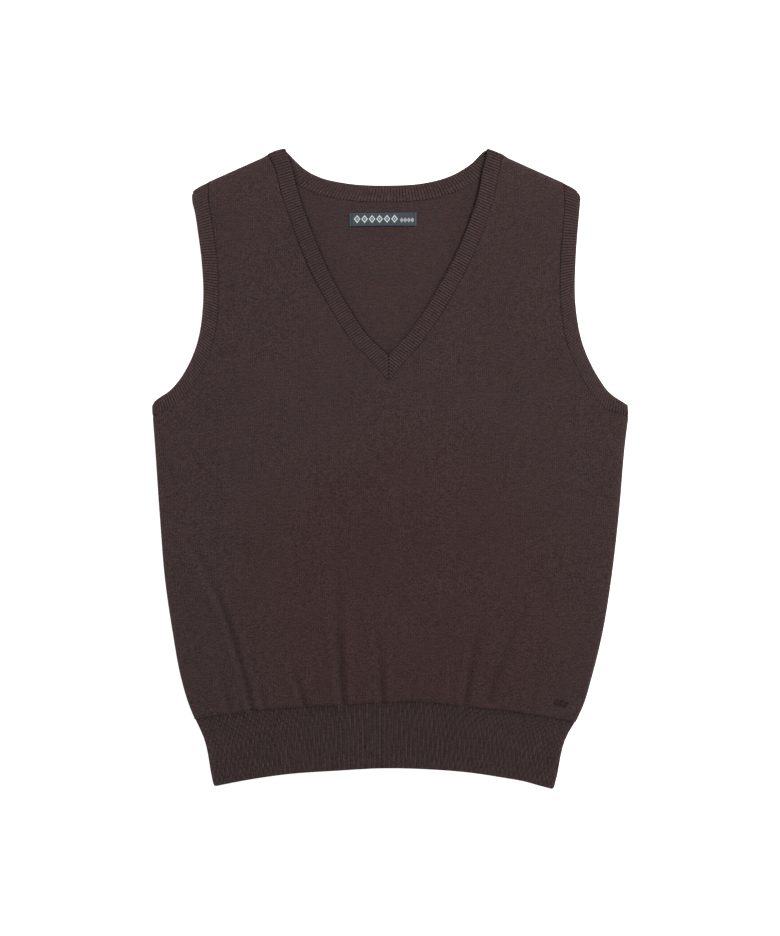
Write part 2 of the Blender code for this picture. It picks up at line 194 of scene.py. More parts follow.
CORNERS = {
    "left": Corners((-0.1165, 0.2972), (-0.1725, 0.2702), (-0.2249, 0.0490)),
    "right": Corners((0.1068, 0.2968), (0.1640, 0.2692), (0.2248, 0.0490)),
}
SIGN = {"left": -1.0, "right": 1.0}
CENTRE_ROW = 4
waist_depth = WAIST_SEAM[CENTRE_ROW].y - HEM[CENTRE_ROW].y
print("the waist rib is", round(waist_depth, 4), "m deep at the centre of the vest")

# %% [markdown]
# ## Smooth lines
# A Hermite curve passes through every row of a table and leaves it in the direction of its neighbours.
# After that we need the same line again and again with its points spaced in some other way, so one
# function reads a line at any distances along it.

# %% Curve helpers
CURVE_POINTS = 241
FINE_CURVE_POINTS = 481


def distances_along(line):
    """How far along the line each of its points is."""
    steps = np.linalg.norm(np.diff(line, axis=0), axis=1)
    return np.concatenate([[0.0], np.cumsum(steps)])


def length_of(line):
    return distances_along(line)[-1]


def read_line(line, places):
    """The points of a line at the given distances along it."""
    along = distances_along(line)
    return np.column_stack([np.interp(places, along, line[:, axis]) for axis in range(line.shape[1])])


def evenly(line, count):
    return read_line(line, np.linspace(0.0, length_of(line), count))


def smooth_curve(rows, count=CURVE_POINTS):
    """An evenly spaced smooth curve through the given points."""
    points = np.asarray(rows, float)
    knots = distances_along(points)
    slopes = np.gradient(points, knots, axis=0)
    places = np.linspace(0.0, knots[-1], 8 * count)
    cell = np.clip(np.searchsorted(knots, places, side="right") - 1, 0, len(knots) - 2)
    span = (knots[cell + 1] - knots[cell])[:, None]
    t = (places - knots[cell])[:, None] / span
    curve = (
        points[cell] * (2 * t**3 - 3 * t**2 + 1)
        + points[cell + 1] * (3 * t**2 - 2 * t**3)
        + slopes[cell] * span * (t**3 - 2 * t**2 + t)
        + slopes[cell + 1] * span * (t**3 - t**2)
    )
    return evenly(curve, count)


def edge_of(rows, side):
    return [(getattr(row, side), row.y) for row in rows]


def sideways(line):
    """The direction square to the line at each of its points, to its own left."""
    direction = np.gradient(line, axis=0)
    direction /= np.linalg.norm(direction, axis=1)[:, None]
    return np.column_stack([-direction[:, 1], direction[:, 0]])


def ease(value, low, high):
    """0 up to low, 1 from high on, and a soft S between."""
    t = np.clip((np.asarray(value, float) - low) / (high - low), 0.0, 1.0)
    return t * t * (3 - 2 * t)


armhole_length = length_of(smooth_curve(edge_of(ARMHOLE_EDGE, "left")))
print("the left armhole's edge is", round(armhole_length, 4), "m long")

# %% [markdown]
# ## The seams beside the edges
# A band keeps its width all round, so its seam is its edge moved sideways by that width. Only the two
# ends are special: there the seam runs into a corner of its own, where the band folds over.

# %% Seam lines
CORNER_CLEAR = 0.9
SEAM_STEP = 16
MITRE_DROP = 0.0252
MITRE_SHIFT = 1.4


def beside(edge, distance, first, last):
    """The line beside an edge, from the corner first to the corner last.

    Points nearer to a corner than CORNER_CLEAR distances are left out, and so are most of the others.
    """
    moved = edge + distance * sideways(edge)
    along = np.linspace(0.0, 1.0, len(edge))
    clear = CORNER_CLEAR * abs(distance) / length_of(edge)
    kept = moved[(along > clear) & (along < 1.0 - clear)]
    return smooth_curve(np.vstack([[first], kept[::SEAM_STEP], [last]]))


def v_edge(side):
    return smooth_curve(edge_of(V_NECK_EDGE, side))


V_POINT = np.array([V_NECK_EDGE[0].left, V_NECK_EDGE[0].y])
MITRE_FOOT = np.array([-0.0018, V_NECK_EDGE[0].y - MITRE_DROP])


def v_seam(side, shift=0.0):
    """From the foot of the mitre to the shoulder. A shift over 0 moves it out into the front."""
    top = np.array(CORNERS[side].neck_seam) + [SIGN[side] * shift, 0.0]
    foot = MITRE_FOOT - [0.0, MITRE_SHIFT * shift]
    return beside(v_edge(side), -SIGN[side] * (NECK_BAND + shift), foot, top)


def back_neck_seam(shift=0.0):
    left = np.array(CORNERS["left"].neck_seam) - [shift, 0.0]
    right = np.array(CORNERS["right"].neck_seam) + [shift, 0.0]
    return beside(smooth_curve(BACK_NECK_EDGE), -(NECK_BAND + shift), left, right)


def arm_edge(side):
    return smooth_curve(edge_of(ARMHOLE_EDGE, side))


def arm_seam(side, shift=0.0):
    """From under the arm to the shoulder. A shift over 0 moves it into the body."""
    under = np.array(CORNERS[side].underarm_seam) - [0.0, shift]
    top = np.array(CORNERS[side].armhole_seam) - [SIGN[side] * shift, 0.0]
    return beside(arm_edge(side), SIGN[side] * (ARM_BAND + shift), under, top)


HALF_START = 6
HALF_STEP = 12


def half_of(rows, side):
    """A crossing line from the centre of the vest out to one side."""
    line = smooth_curve(rows, FINE_CURVE_POINTS)
    centre = rows[CENTRE_ROW]
    half = line[line[:, 0] < centre.x][::-1] if side == "left" else line[line[:, 0] > centre.x]
    return smooth_curve(np.vstack([[(centre.x, centre.y)], half[HALF_START::HALF_STEP], half[-1:]]))


print("the left V seam is", round(length_of(v_seam("left")), 4), "m long")
print("the left armhole seam is", round(length_of(arm_seam("left")), 4), "m long")

# %% [markdown]
# ## How the front layer lies
# Laid flat, the front rests on the back and swells a little where there is air between them. Over the
# waist the rib pulls the cloth together, so soft troughs run up from it. Each trough is a bend through
# three points, nothing at its head and deepest near its foot, with a soft shoulder on either side.

# %% Swells and folds
Swell = namedtuple("Swell", "x y reach_x reach_y height")
Fold = namedtuple("Fold", "head_x head_y middle_x middle_y foot_x foot_y depth width")

SWELLS = [
    Swell(-0.004, -0.180, 0.160, 0.055, 0.0030),
    Swell(-0.004, 0.000, 0.165, 0.120, 0.0014),
    Swell(-0.065, 0.190, 0.040, 0.070, 0.0007),
    Swell(0.072, 0.210, 0.040, 0.070, 0.0012),
    Swell(-0.150, 0.235, 0.045, 0.040, 0.0006),
    Swell(0.145, 0.235, 0.045, 0.040, 0.0008),
]
FOLDS = [
    Fold(-0.1679, -0.1724, -0.1602, -0.2000, -0.1518, -0.2313, 0.0013, 0.0034),
    Fold(-0.1993, -0.0584, -0.1632, -0.1249, -0.1318, -0.2294, 0.0028, 0.0029),
    Fold(-0.1252, -0.2050, -0.1227, -0.2150, -0.1192, -0.2290, 0.0012, 0.0025),
    Fold(-0.1014, -0.1629, -0.0912, -0.1950, -0.0815, -0.2256, 0.0018, 0.0031),
    Fold(-0.0520, -0.0679, -0.0492, -0.1629, -0.0454, -0.2228, 0.0034, 0.0034),
    Fold(-0.0121, -0.1487, -0.0102, -0.1867, -0.0083, -0.2218, 0.0024, 0.0030),
    Fold(0.0886, -0.1344, 0.0781, -0.1772, 0.0705, -0.2237, 0.0027, 0.0034),
    Fold(0.1408, -0.1012, 0.1171, -0.1534, 0.0933, -0.2199, 0.0020, 0.0041),
    Fold(0.1456, -0.1724, 0.1388, -0.2000, 0.1313, -0.2275, 0.0012, 0.0034),
]
FOLD_STEPS = 60
HEAD_WIDER = 1.5
FOOT_NARROWER = 0.5
SHOULDER_PLACE = 1.9
SHOULDER_SHARE = 0.5
FOOT_EASE = 0.30
FOOT_POWER = 8


def swell_level(x, y):
    """Height of the middle of the front layer without its folds."""
    level = np.full(np.shape(x), FRONT_LEVEL)
    for swell in SWELLS:
        away = ((x - swell.x) / swell.reach_x) ** 2 + ((y - swell.y) / swell.reach_y) ** 2
        level = level + swell.height * np.exp(-away)
    return level


def fold_relief(x, y):
    """How much the folds raise or lower the cloth. Each is widest at its head and deepest near its foot."""
    t = np.linspace(0.0, 1.0, FOLD_STEPS)[:, None]
    relief = np.zeros(np.shape(x))
    for fold in FOLDS:
        head, foot = np.array([fold.head_x, fold.head_y]), np.array([fold.foot_x, fold.foot_y])
        bend = 2 * np.array([fold.middle_x, fold.middle_y]) - (head + foot) / 2
        path = head * (1 - t) ** 2 + bend * 2 * t * (1 - t) + foot * t**2
        away = np.full(np.shape(x), np.inf)
        along = np.zeros(np.shape(x))
        for step, (path_x, path_y) in enumerate(path):
            near = np.hypot(x - path_x, y - path_y)
            along = np.where(near < away, step / (FOLD_STEPS - 1), along)
            away = np.minimum(away, near)
        strength = fold.depth * along * (1 - FOOT_EASE * along**FOOT_POWER)
        across = away / (fold.width * (HEAD_WIDER - FOOT_NARROWER * along))
        shoulder = SHOULDER_SHARE * np.exp(-((across - SHOULDER_PLACE) ** 2))
        relief += strength * (shoulder - np.exp(-(across**2)))
    return relief


print(len(SWELLS), "swells,", len(FOLDS), "folds")

# %% [markdown]
# Between its folds the cloth isn't dead flat either. A few slow waves that cross each other are enough,
# and they come out the same every time, which a random texture would only do with a fixed seed.

# %% Slow waves
Wave = namedtuple("Wave", "turns_x turns_y start share")
WAVES = [
    Wave(7.0, 2.1, 0.3, 1.0),
    Wave(-4.5, 6.2, 1.9, 0.8),
    Wave(11.0, -5.0, 4.1, 0.55),
    Wave(3.0, 14.0, 2.6, 0.5),
]
WAVE_HEIGHT = 0.00016


def slow_waves(x, y):
    """Waves counted in turns for each metre."""
    total = np.zeros(np.shape(x))
    for wave in WAVES:
        total += wave.share * np.sin(2 * np.pi * (wave.turns_x * x + wave.turns_y * y) + wave.start)
    return WAVE_HEIGHT * total


def front_level(x, y):
    """Height of the middle of the front layer with its folds and waves."""
    return swell_level(x, y) + fold_relief(x, y) + slow_waves(x, y)


print("the chest lies", round(float(front_level(0.0, 0.0)), 5), "m over the surface")

# %% [markdown]
# ## From a grid to cloth
# A grid primitive already has tidy quads and one corner of texture space for each point. We move each
# of its points to its place, merge the halves at the centre line, and let a Solidify modifier give the
# wall. A vertex group thins the wall where an edge is rounded or tucked into a seam.

# %% Laying a sheet
MERGE_DISTANCE = 0.00001
THINNEST = 0.1


def values_of(items, name, width=1, kind=float):
    """An array with one value, or width values, of each of a mesh's items."""
    values = np.empty(len(items) * width, kind)
    items.foreach_get(name, values)
    return values.reshape(-1, width)


def lay_grid(name, places, knit, wall_share, tone, faces_up=True):
    """A grid object with its points at places[row][column].

    Each point also has its place in the stitch map, its share of the wall, and its tone: under 1 where
    shade is painted into a groove or fold, over 1 where a sheen is painted on at an edge.
    """
    rows, columns = places.shape[:2]
    probe = places[rows // 8 : rows // 8 + 2, columns // 2 : columns // 2 + 2]
    turned_up = np.cross(probe[0, 1] - probe[0, 0], probe[1, 0] - probe[0, 0])[2] > 0
    if turned_up != faces_up:
        places, knit = places[:, ::-1], knit[:, ::-1]
        wall_share, tone = wall_share[:, ::-1], tone[:, ::-1]
    bpy.ops.object.select_all(action="DESELECT")
    bpy.ops.mesh.primitive_grid_add(x_subdivisions=columns - 1, y_subdivisions=rows - 1, size=2.0)
    sheet = bpy.context.object
    sheet.name = name
    mesh = sheet.data
    at = values_of(mesh.vertices, "co", 3)
    column = np.rint((at[:, 0] + 1) / 2 * (columns - 1)).astype(int)
    row = np.rint((at[:, 1] + 1) / 2 * (rows - 1)).astype(int)
    mesh.vertices.foreach_set("co", places[row, column].astype(np.float32).ravel())
    corner = values_of(mesh.loops, "vertex_index", kind=int)[:, 0]
    stitches = knit[row[corner], column[corner]].astype(np.float32)
    mesh.uv_layers[0].name = "knit"
    mesh.uv_layers[0].data.foreach_set("uv", stitches.ravel())
    shading = mesh.attributes.new("tone", "FLOAT", "POINT")
    shading.data.foreach_set("value", tone[row, column].astype(np.float32))
    group = sheet.vertex_groups.new(name="wall")
    share = np.round(np.clip(wall_share[row, column], 0.0, 1.0), 2)
    for value in np.unique(share):
        group.add(np.flatnonzero(share == value).tolist(), float(value), "REPLACE")
    return sheet


def join_sheets(name, sheets):
    """One object from several grids, merged where they meet."""
    bpy.ops.object.select_all(action="DESELECT")
    for sheet in sheets:
        sheet.select_set(True)
    bpy.context.view_layer.objects.active = sheets[0]
    if len(sheets) > 1:
        bpy.ops.object.join()
    sheet = bpy.context.object
    sheet.name = name
    sheet.data.name = name
    bpy.ops.object.mode_set(mode="EDIT")
    bpy.ops.mesh.select_all(action="SELECT")
    bpy.ops.mesh.remove_doubles(threshold=MERGE_DISTANCE)
    bpy.ops.object.mode_set(mode="OBJECT")
    return sheet


def give_wall(sheet, thickness):
    """Thickens the sheet about its middle. The second material slot goes on its other side."""
    bpy.context.view_layer.objects.active = sheet
    bpy.ops.object.modifier_add(type="SOLIDIFY")
    wall = sheet.modifiers[-1]
    wall.thickness = thickness
    wall.offset = 0.0
    wall.vertex_group = "wall"
    wall.thickness_vertex_group = THINNEST
    wall.material_offset = len(sheet.data.materials) - 1
    bpy.ops.object.modifier_apply(modifier=wall.name)
    bpy.ops.object.shade_smooth()
    print(sheet.name, "has", len(sheet.data.polygons), "faces")


# %% [markdown]
# ## Spacing the points
# Most of a panel is calm and needs few points, but its edges roll over within two or three
# millimetres. So each row keeps fixed small steps near its two ends and even steps between.

# %% Uneven spacing
OUTER_STEPS = np.array([0.0, 0.0002, 0.0006, 0.0011, 0.0017, 0.0025, 0.0036, 0.0050])
INNER_STEPS = np.array([0.0, 0.0006, 0.0012, 0.0019, 0.0027, 0.0036, 0.0050])


def spaced(length, count, first=INNER_STEPS, last=OUTER_STEPS):
    """Count distances from 0 to length, with the fine steps first at the start and last at the end."""
    even = np.linspace(first[-1], length - last[-1], count - len(first) - len(last) + 2)
    return np.concatenate([first[:-1], even, length - last[::-1][1:]])


def patch(bottom, top, inner, outer):
    """A grid filled in between four lines that meet at their ends (a Coons patch)."""
    u = np.linspace(0.0, 1.0, len(bottom))[None, :, None]
    v = np.linspace(0.0, 1.0, len(inner))[:, None, None]
    across = (1 - v) * bottom[None] + v * top[None]
    along = (1 - u) * inner[:, None] + u * outer[:, None]
    corners = (
        (1 - u) * (1 - v) * bottom[0]
        + u * (1 - v) * bottom[-1]
        + (1 - u) * v * top[0]
        + u * v * top[-1]
    )
    return across + along - corners


def respace_rows(grid, length, count, first=INNER_STEPS, last=OUTER_STEPS):
    """The grid read again at uneven rows, for columns about length long.

    Also gives each new row's place, counted in the old rows.
    """
    rows = spaced(length, count, first, last) / length * (len(grid) - 1)
    low = np.clip(np.floor(rows).astype(int), 0, len(grid) - 2)
    part = (rows - low)[:, None, None]
    return grid[low] * (1 - part) + grid[low + 1] * part, rows


def respace_columns(grid, count):
    """Each row of the grid read again at uneven distances. Also gives each point's way to both ends."""
    rows, near, far = [], [], []
    for line in grid:
        length = length_of(line)
        places = spaced(length, count)
        rows.append(read_line(line, places))
        near.append(places)
        far.append(length - places)
    return np.array(rows), np.array(near), np.array(far)


def to_row(grid, row):
    """How far each point is from the point of its column in the given row."""
    return np.linalg.norm(grid - grid[row], axis=2)


def flat_area(grid):
    """The area of a grid of plan points, in square metres."""
    one = grid[1:, 1:] - grid[:-1, :-1]
    two = grid[1:, :-1] - grid[:-1, 1:]
    return float(np.abs(one[..., 0] * two[..., 1] - one[..., 1] * two[..., 0]).sum() / 2)


def quarter_roll(distance, reach):
    """0 at an edge, 1 from reach on, and a quarter of an ellipse between."""
    inside = 1 - np.clip(distance / reach, 0.0, 1.0)
    return np.sqrt(np.clip(1 - inside**2, 0.0, 1.0))


def roll_down(z, distance, reach):
    """A height z that rolls down to the side seams' level within reach of an edge."""
    return SEAM_LEVEL + (z - SEAM_LEVEL) * quarter_roll(distance, reach)


print("a 200 mm row with 60 points starts", np.round(spaced(0.2, 60)[:9], 4))

# %% [markdown]
# ## The front
# The front is two halves that share the centre line below the V. From the waist up, its rows follow
# the side seam and then the armhole. Its edges do three different things: they roll down to the back
# at the sides and shoulders, tuck in under the ribbed bands, and dip into the waist seam.

# %% The edges of a panel
TUCK = 0.0022
SIDE_INSET = 0.0002
NECK_RISE = {"left": 0.0008, "right": 0.0012}
NECK_RISE_REACH = 0.009


def low_and_outer_edge(side, low_rows, high_rows):
    """The bottom edge of half a panel, and its outer edge: up the side seam and under the armhole band."""
    bottom = half_of(WAIST_SEAM, side)
    bottom[:, 0] -= SIGN[side] * SIDE_INSET * np.linspace(0.0, 1.0, len(bottom))
    flank = smooth_curve(edge_of(SIDE_SEAM, side))
    flank[:, 0] -= SIGN[side] * SIDE_INSET
    arm = evenly(arm_seam(side, -TUCK), high_rows + 1)
    outer = np.vstack([evenly(flank, low_rows + 1), arm[1:]])
    outer[0] = bottom[-1]
    return bottom, outer


def shoulder_line(neck_end, arm_end, count):
    """The top edge of a panel. It rises a little towards the neck band."""
    line = np.linspace(neck_end, arm_end, count)
    side = "left" if arm_end[0] < 0 else "right"
    from_neck = np.linalg.norm(line - line[0], axis=1)
    line[1:, 1] += NECK_RISE[side] * (1 - ease(from_neck[1:], 0.0, NECK_RISE_REACH))
    return line


print("the panels reach", TUCK, "m under the bands")

# %% [markdown]
# ## Tones and stitches of a panel
# A groove beside a seam gets less light than a render alone gives it, so shade is painted into it, and an
# edge gets a painted sheen that makes it a little lighter. Each point carries such a tone, which the finish
# reads later. The stitch map tells the finish which wale and course a point is in, so that the knit follows
# the cloth.

# %% Tones and the stitch map
SEAM_SHADE_REACH = 0.0014
GATHER = 0.10
GATHER_FROM = 0.10
GATHER_TO = 0.235
CENTRE_WALE = 0.003


def shade(distance, amount, reach=SEAM_SHADE_REACH):
    """Painted shade: a tone that is darker by amount within a short reach of a seam."""
    return 1 - amount * (1 - ease(distance, 0.0, reach))


def painted_highlight(distance, amount, reach):
    """Painted highlight: a tone that is lighter by amount at an edge and fades away from it."""
    return 1 + amount * np.exp(-distance / reach)


def knit_map(grid):
    """Stitch coordinates of plan points: wales run up the vest and crowd together at the waist."""
    x, y = grid[..., 0], grid[..., 1]
    gathered = 1 + GATHER * ease(-y, GATHER_FROM, GATHER_TO)
    return np.stack([(x + CENTRE_WALE) * gathered / WALE, y / COURSE], axis=-1)


print("at a seam shaded by half the tone is", float(shade(0.0, 0.5)))

# %% [markdown]
# ## Laying the front
# The height of every point comes from the swells and folds, and then each edge bends it in its own way.
# Writing the three bends as separate shares, from 0 to 1, keeps them apart where two edges meet.

# %% The front panel
LOWEST_FRONT = 0.0021
ROLL = 0.0030
SHOULDER_ROLL = 0.0060
HALF_WALL = JERSEY_WALL / 2
FRONT_COLUMNS = 82
LOW_ROWS = 118
HIGH_ROWS = 92
FRONT_HEIGHT = 0.53
ARM_START = (LOW_ROWS - 1.5, LOW_ROWS + 2.5)
V_START = (LOW_ROWS - 0.5, LOW_ROWS + 0.5)
TUCK_EASE = 0.0006
FRONT_TUCK_EASE = 0.0008
FRONT_TUCK_DEPTH = 0.0012
FRONT_TUCK_THIN = 0.65
WAIST_DIP = 0.0004
WAIST_DIP_REACH = 0.0030
WAIST_THIN = 0.4
WAIST_THIN_REACH = 0.0008
FOLD_SHADE = 0.22
FOLD_DEEP = 0.0030
V_SEAM_SHADE = {"left": 0.56, "right": 0.74}
ARM_SEAM_SHADE = {"left": 0.38, "right": 0.50}
WAIST_SEAM_SHADE = 0.14
# Painted sheen along the rolled sides, painted highlight along the shoulders.
SIDE_SHEEN = 0.32
SHEEN_REACH = 0.0028
SHOULDER_HIGHLIGHT = 0.25
SHOULDER_HIGHLIGHT_REACH = 0.0070


def under_band(distance, past):
    """1 where a panel's edge lies under a band, 0 from a little past the band's seam on."""
    return 1 - ease(distance, TUCK - TUCK_EASE, TUCK + past)


def front_half(side):
    """Points, stitch map, wall shares and tones of one half of the front."""
    bottom, outer = low_and_outer_edge(side, LOW_ROWS, HIGH_ROWS)
    neck = evenly(v_seam(side, -TUCK), HIGH_ROWS + 1)
    centre = np.linspace(bottom[0], neck[0], LOW_ROWS + 1)
    inner = np.vstack([centre[:-1], neck])
    shoulder = shoulder_line(inner[-1], outer[-1], len(bottom))
    grid = patch(bottom, shoulder, inner, outer)
    grid, rows = respace_rows(grid, FRONT_HEIGHT, len(grid))
    grid, near, far = respace_columns(grid, FRONT_COLUMNS)
    from_bottom, from_top = to_row(grid, 0), to_row(grid, -1)
    x, y = grid[..., 0], grid[..., 1]
    z = np.maximum(front_level(x, y), LOWEST_FRONT)
    above = ease(rows, *ARM_START)[:, None]
    beside_v = ease(rows, *V_START)[:, None]
    under_arm = above * under_band(far, FRONT_TUCK_EASE)
    under_v = beside_v * under_band(near, FRONT_TUCK_EASE)
    z = roll_down(z, far, ROLL) * (1 - above) + z * above
    z = z - FRONT_TUCK_DEPTH * (under_arm + under_v)
    z = roll_down(z, from_top, SHOULDER_ROLL) - WAIST_DIP * (1 - ease(from_bottom, 0.0, WAIST_DIP_REACH))
    share = 1 - FRONT_TUCK_THIN * (under_arm + under_v)
    share = share - WAIST_THIN * (1 - ease(from_bottom, 0.0, WAIST_THIN_REACH))
    # Painted shade in the fold troughs and beside the seams, painted sheen and highlight at the sides and
    # shoulders.
    tone = 1 - FOLD_SHADE * np.clip(-fold_relief(x, y) / FOLD_DEEP, 0.0, 1.0)
    tone = tone * shade(near - TUCK, V_SEAM_SHADE[side] * beside_v)
    tone = tone * shade(far - TUCK, ARM_SEAM_SHADE[side] * above)
    tone = tone * shade(from_bottom, WAIST_SEAM_SHADE)
    tone = tone * painted_highlight(far, SIDE_SHEEN * (1 - above), SHEEN_REACH)
    tone = tone * painted_highlight(from_top, SHOULDER_HIGHLIGHT, SHOULDER_HIGHLIGHT_REACH)
    return np.dstack([grid, z]), knit_map(grid), share, tone


def lay_panel(name, half, faces_up):
    """Both halves of a panel, joined at the centre line. Gives the sheet and its flat area."""
    sheets, area = [], 0.0
    for side in SIGN:
        places, knit, share, tone = half(side)
        area += flat_area(places[..., :2])
        sheets.append(lay_grid(f"{name}_{side}", places, knit, share, tone, faces_up))
    return join_sheets(name, sheets), area


front, front_area = lay_panel("vest_front", front_half, faces_up=True)
print("flat area of the front:", round(front_area, 4), "square metres")

# %% [markdown]
# ## The back
# The back lies on the surface, so it is flat but for its rolled edges and a few shallow dents under
# the waist folds. Its top row follows the back neck seam and then the shoulder.

# %% The back panel
BACK_COLUMNS = 120
BACK_LOW_ROWS = 70
BACK_HIGH_ROWS = 120
BACK_HEIGHT = 0.50
BACK_ARM_START = (BACK_LOW_ROWS - 1.5, BACK_LOW_ROWS + 2.0)
NECK_SHARE = 0.66
NECK_SHARE_EASE = 0.01
DENT_SHARE = 0.35
DENT_FROM = 0.0004
BACK_TUCK_EASE = 0.0010
BACK_TUCK_DEPTH = 0.0003
BACK_TUCK_THIN = 0.6
BACK_WAIST_THIN = 0.5
BACK_WAIST_THIN_REACH = (0.0004, 0.0020)
BACK_NECK_SHADE = 0.06


def read_rows(table, places):
    """Each row of a table, whose columns are spread from 0 to 1, read at that row's own places."""
    across = np.linspace(0.0, 1.0, table.shape[1])
    return np.array([np.interp(at, across, row) for at, row in zip(places, table)])


def back_half(side):
    """The same for one half of the back. Its top edge has a part under the neck band and a shoulder."""
    bottom, outer = low_and_outer_edge(side, BACK_LOW_ROWS, BACK_HIGH_ROWS)
    seam = back_neck_seam(-TUCK)
    middle = len(seam) // 2
    neck = seam[middle::-1] if side == "left" else seam[middle:]
    neck_count = int(NECK_SHARE * len(bottom))
    shoulder = shoulder_line(neck[-1], outer[-1], len(bottom) - neck_count + 1)
    top = np.vstack([evenly(neck, neck_count), shoulder[1:]])
    inner = np.linspace(bottom[0], top[0], len(outer))
    even_grid, rows = respace_rows(patch(bottom, top, inner, outer), BACK_HEIGHT, len(outer))
    grid, near, far = respace_columns(even_grid, BACK_COLUMNS)
    across = near / (near + far)
    from_bottom, from_top = (read_rows(to_row(even_grid, row), across) for row in (0, -1))
    even_across = np.linspace(0.0, 1.0, even_grid.shape[1])
    on_shoulder = ease(even_across, NECK_SHARE - NECK_SHARE_EASE, NECK_SHARE + NECK_SHARE_EASE)
    shoulder_part = np.interp(across, even_across, on_shoulder)
    x, y = grid[..., 0], grid[..., 1]
    base = JERSEY_LEVEL + DENT_SHARE * np.clip(-fold_relief(x, y) - DENT_FROM, 0.0, None)
    above = ease(rows, *BACK_ARM_START)[:, None]
    under_arm = above * under_band(far, BACK_TUCK_EASE)
    under_neck = under_band(from_top, BACK_TUCK_EASE) * (1 - shoulder_part)
    z = roll_down(base, far, ROLL) * (1 - above) + base * above - BACK_TUCK_DEPTH * under_arm
    z = z * (1 - shoulder_part) + roll_down(z, from_top, ROLL) * shoulder_part
    z = z - BACK_TUCK_DEPTH * under_neck
    share = 1 - BACK_TUCK_THIN * (under_arm + under_neck)
    share = share - BACK_WAIST_THIN * (1 - ease(from_bottom, *BACK_WAIST_THIN_REACH))
    tone = shade(from_top - TUCK, BACK_NECK_SHADE * (1 - shoulder_part))
    tone = tone * shade(far - TUCK, ARM_SEAM_SHADE[side] * above)
    return np.dstack([grid, z]), knit_map(grid), share, tone


back, back_area = lay_panel("vest_back", back_half, faces_up=False)
print("flat area of the back:", round(back_area, 4), "square metres")

# %% [markdown]
# ## The shade inside the V
# Where the V lies on the back, its edge throws a narrow shade on the cloth below, and that shadow is
# painted on. Only the side that looks up may take it, so it is laid on later, once the cloth has a wall and
# its two sides are known.

# %% The shade along the V
V_SHADE = {"left": 0.52, "right": 0.30}
V_SHADE_PLACE = 0.0006
V_SHADE_REACH = 0.0012
V_SHADE_DROP = 0.010
V_SHADE_HALF = 0.12
BACK_NECK_V_REACH = 0.0020
BACK_NECK_RIM = 0.0035


def away_from(line, x, y):
    """How far each point is from the nearest point of a line."""
    away = np.full(x.shape, 1.0)
    for line_x, line_y in line:
        away = np.minimum(away, np.hypot(x - line_x, y - line_y))
    return away


def shade_inside(sheet, reach, rim=None):
    """Paints the V's shadow along its open edges on the inside of a finished piece of the back.

    Only the side that looks up takes it, and not within reach of the rim.
    """
    mesh = sheet.data
    x, y, z = values_of(mesh.vertices, "co", 3).T
    upward = values_of(mesh.vertex_normals, "vector", 3)[:, 2] > 0
    shown = upward & (z < LOWEST_FRONT) & (y > V_POINT[1] - V_SHADE_DROP) & (np.abs(x) < V_SHADE_HALF)
    x, y = x[shown], y[shown]
    tone = values_of(mesh.attributes["tone"].data, "value", kind=np.float32)[:, 0]
    plain = 1.0 if rim is None else ease(away_from(rim, x, y), 0.0, BACK_NECK_RIM)
    for side, amount in V_SHADE.items():
        place = (away_from(v_edge(side), x, y) - V_SHADE_PLACE) / reach
        tone[shown] *= 1 - plain * amount * np.exp(-(place**2))
    mesh.attributes["tone"].data.foreach_set("value", tone)
    print(sheet.name, "shades", int(shown.sum()), "points of its inside")


print("the shade fades", V_SHADE_REACH, "m from the edge of the V")

# %% [markdown]
# ## Ribbing
# Ribbing is a row of ridges: a column of face stitches, then one that shows its back. The bands are
# narrow, so they show well and deserve real ridges. We build a band from sections, one after another,
# eight to each ridge. A section crosses the band from its open edge to its seam. The ridges begin just
# inside the rounded edge, where the knit is bound off, and fade out just before the seam.

# %% The shape of a rib and of a band's section
ACROSS = np.array([0.0, 0.02, 0.045, 0.07, 0.10, 0.14, 0.23, 0.40, 0.58, 0.74, 0.84, 0.90, 0.94, 0.97, 1.0])
EDGE_REACH = 0.0018
RIDGE_FULLNESS = 0.25
Band = namedtuple("Band", "points from_edge to_seam tone")


def ridge(turns):
    """From -1 in a groove to 1 on a ridge, for a number of turns counted in ribs."""
    wave = np.cos(2 * np.pi * turns)
    return wave * (1 + RIDGE_FULLNESS - RIDGE_FULLNESS * wave * wave)


def band_run(edge, seam, level, ribs, edge_sheen, seam_shade, mitre=None):
    """Sections from the edge line to the seam line.

    The edge gets a painted sheen, lighter by rub, and the seam painted shade, darker by seam_shade. A mitre
    is where the edge starts, and how far the mitre line reaches along the seam.
    """
    along = np.linspace(0.0, 1.0, ribs * POINTS_PER_RIB + 1)
    seam_length = length_of(seam)
    share = 0.0 if mitre is None else mitre[1] / seam_length
    on_edge = np.clip((along - share) / (1 - share), 0.0, 1.0)
    starts = read_line(edge, on_edge * length_of(edge))
    ends = read_line(seam, along * seam_length)
    before = np.zeros(len(along))
    if mitre is not None:
        lean = np.clip(1 - along / share, 0.0, 1.0)
        starts = starts + lean[:, None] * (seam[0] - mitre[0])
        before = lean * NECK_BAND
    width = np.linalg.norm(ends - starts, axis=1)
    plan = starts[:, None] + ACROSS[None, :, None] * (ends - starts)[:, None]
    points = np.dstack([plan, level(plan[..., 0], plan[..., 1])])
    from_edge = before[:, None] + ACROSS * width[:, None]
    to_seam = (1 - ACROSS) * width[:, None]
    return Band(points, from_edge, to_seam, painted_highlight(from_edge, edge_sheen, EDGE_REACH) * shade(to_seam, seam_shade))


print("a rib's height at 8 points:", np.round(ridge(np.arange(8) / 8), 2))

# %% [markdown]
# ## Where a band folds over
# At the shoulders and under the arms a band turns from the front layer to the back one. Its section
# swings round half a circle there. The half circle is smaller at both ends of the section, so that the
# tip is round and the seam stays flat. Bands are then strung together, one run of sections after another.

# %% Fold-overs, and runs of sections
TIP_ROUND = 0.0040
SEAM_FADE = 0.0080
SEAM_SHARE = 0.25


def repeated(row, count):
    return np.repeat(row[None], count, axis=0)


